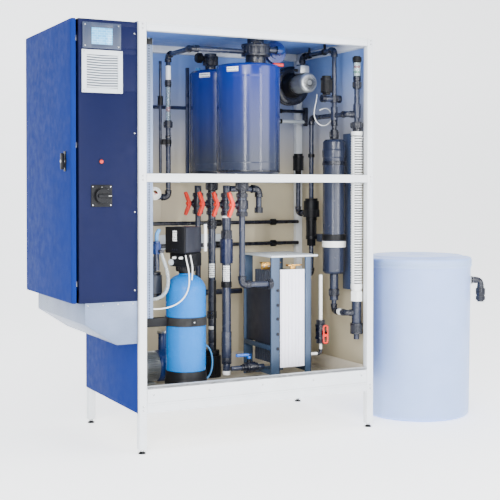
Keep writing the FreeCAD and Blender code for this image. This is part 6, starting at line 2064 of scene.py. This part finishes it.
@dataclass(frozen=True)
class Flexible:
    """One cable or hose: its route, thickness and look."""

    name: str
    route: tuple[tuple[float, float, float], ...]
    diameter: float
    length: float
    finish: Finish
    slot: str
    node: str
    far_end: str
    stiffness: str

    def build(self) -> None:
        curve = bpy.data.curves.new(self.name, "CURVE")
        curve.dimensions = "3D"
        curve.bevel_depth = self.diameter / 2000
        curve.bevel_resolution = 4
        curve.resolution_u = 10
        curve.use_fill_caps = True
        line = curve.splines.new("NURBS")
        line.points.add(len(self.route) - 1)
        for point, place in zip(line.points, self.route):
            point.co = (*at(*place), 1.0)
        line.order_u = 3
        line.use_endpoint_u = True
        curve.materials.append(self.finish.material())
        made = bpy.data.objects.new(self.name, curve)
        bpy.context.scene.collection.objects.link(made)
        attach(made, Body.SKID.value)
        if self.node:
            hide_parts(self.node)
        log.info("%s: a cord of %.3f m", self.name, self.length)


FLEXIBLES = (
    Flexible("signal_cable", ((276, 74, 958), (279, 70, 930), (288, 68, 896), (294, 68, 854),
                              (293, 67, 810), (281, 66, 770), (256, 66, 736), (218, 66, 712),
                              (175, 67, 700), (129, 70, 696), (84, 72, 698), (46, 73, 702),
                              (14.3, 74, 704)),
             7.0, 0.483, WHITE_CABLE, "cable_grey", "signal_cables", "object", "medium"),
    Flexible("signal_cable_branch", ((304, 80, 958), (309, 78, 932), (314, 74, 902),
                                     (311, 68, 868), (305, 62, 834)),
             7.0, 0.127, WHITE_CABLE, "cable_grey", "", "bare", "medium"),
    Flexible("drain_hose", ((163, 117, 969.5), (174, 114, 932), (188, 111, 892), (197, 109, 848),
                            (195, 108, 802), (177, 107, 764), (142, 106, 744), (102, 106, 742),
                            (66, 107, 750), (33, 107, 757), (1, 108, 760)),
             17.0, 0.395, HOSE, "hose_clear", "drain_hose_run", "object", "stiff"),
    Flexible("sensor_cable", ((1184, 322, 1818), (1179, 316, 1792), (1167, 308, 1762),
                              (1154, 300, 1730), (1149, 294, 1694), (1162, 288, 1660),
                              (1192, 284, 1641), (1226, 281, 1646), (1251, 278, 1672),
                              (1252, 275, 1708), (1230, 272, 1735), (1198, 270, 1740),
                              (1170, 270, 1726)),
             5.5, 0.401, WHITE_CABLE, "cable_white", "sensor_lead", "bare", "medium"),
    Flexible("air_hose", ((470, 300, 470), (496, 300, 462), (516, 301, 436), (528, 302, 400),
                          (530, 302, 362), (524, 302, 324), (508, 301, 292), (484, 300, 276)),
             9.0, 0.237, SKY_BLUE, "pale_blue_plastic", "air_hose_run", "bare", "medium"),
)


# ------------------------------------------------------------------------------------- studio


@dataclass
class Studio:
    """The pale floor, the soft lights and the camera."""

    lens: float = 76.84
    shift_y: float = -0.0837
    yaw: float = 26.93
    pitch: float = 1.09

    def build(self) -> None:
        """Makes the stage, the lights and the camera."""
        self.floor()
        self.lights()
        self.camera()

    def floor(self) -> None:
        """Makes a plain floor that curves up behind the object."""
        mesh = bpy.data.meshes.new("backdrop")
        points, faces = [], []
        line = [(-9.0, 0.0), (4.0, 0.0)]
        line += [(4.0 + 3 * math.sin(a), 3 - 3 * math.cos(a))
                for a in [math.radians(d) for d in range(6, 91, 6)]]
        line.append((7.0, 9.0))
        for y, z in line:
            points += [(-14.0, y, z - 0.0005), (14.0, y, z - 0.0005)]
        for k in range(len(line) - 1):
            faces.append((2 * k, 2 * k + 1, 2 * k + 3, 2 * k + 2))
        mesh.from_pydata(points, [], faces)
        mesh.polygons.foreach_set("use_smooth", [True] * len(faces))
        material = Finish("studio_floor", (0.93, 0.94, 0.95, 1), 0.6, 0.0, 0.01, 60.0, 0.01, glow=1.4)
        mesh.materials.append(material.material())
        backdrop = bpy.data.objects.new("backdrop", mesh)
        bpy.context.scene.collection.objects.link(backdrop)

    def lights(self) -> None:
        """Makes the soft boxes and the sky light."""
        lamps = (("key", (-3.4, -5.2, 3.8), 3.2, 3.2, 330),
                 ("fill", (3.4, -4.6, 2.4), 3.0, 3.0, 170),
                 ("front", (-0.6, -5.6, 1.2), 3.4, 2.0, 120),
                 ("top", (0.2, -0.6, 5.0), 4.0, 4.0, 230),
                 ("left", (-4.6, 0.6, 2.2), 2.4, 2.4, 45),
                 ("streak_left", (-2.3, -3.0, 1.5), 0.12, 2.2, 55),
                 ("streak_right", (0.9, -3.4, 1.5), 0.12, 2.2, 45))
        for name, place, wide, tall, power in lamps:
            light = bpy.data.lights.new(name, "AREA")
            light.shape = "RECTANGLE"
            light.size = wide
            light.size_y = tall
            light.energy = power
            lamp = bpy.data.objects.new(name, light)
            lamp.location = place
            aim = Vector((0.0, 0.0, 1.0)) - Vector(place)
            lamp.rotation_euler = aim.to_track_quat("-Z", "Y").to_euler()
            bpy.context.scene.collection.objects.link(lamp)
        world = bpy.data.worlds.new("studio_sky")
        world.use_nodes = True
        ground = world.node_tree.nodes["Background"]
        ground.inputs["Color"].default_value = (0.93, 0.96, 1.0, 1.0)
        ground.inputs["Strength"].default_value = 0.75
        bpy.context.scene.world = world

    def camera(self) -> None:
        """Makes the camera, a little above half the machine's height."""
        data = bpy.data.cameras.new("camera")
        data.lens = self.lens
        data.sensor_width = 36
        data.shift_y = self.shift_y
        data.clip_end = 60
        made = bpy.data.objects.new("camera", data)
        made.location = at(-1857.5, -4839.0, 1296.3)
        made.rotation_euler = Euler((math.radians(90 - self.pitch), 0, math.radians(-self.yaw)))
        bpy.context.scene.collection.objects.link(made)
        bpy.context.scene.camera = made


def main() -> None:
    """Builds the whole object and its studio."""
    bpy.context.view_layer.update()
    for assembly in (Cabinet(), ControlBox(), UpperBay(), Manifold(), Softener(), Pump(), Cell(),
            BrineTank()):
        log.info("building %s", type(assembly).__name__)
        assembly.build()
    for flexible in FLEXIBLES:
        flexible.build()
    Studio().build()


if __name__ == "__main__":
    main()
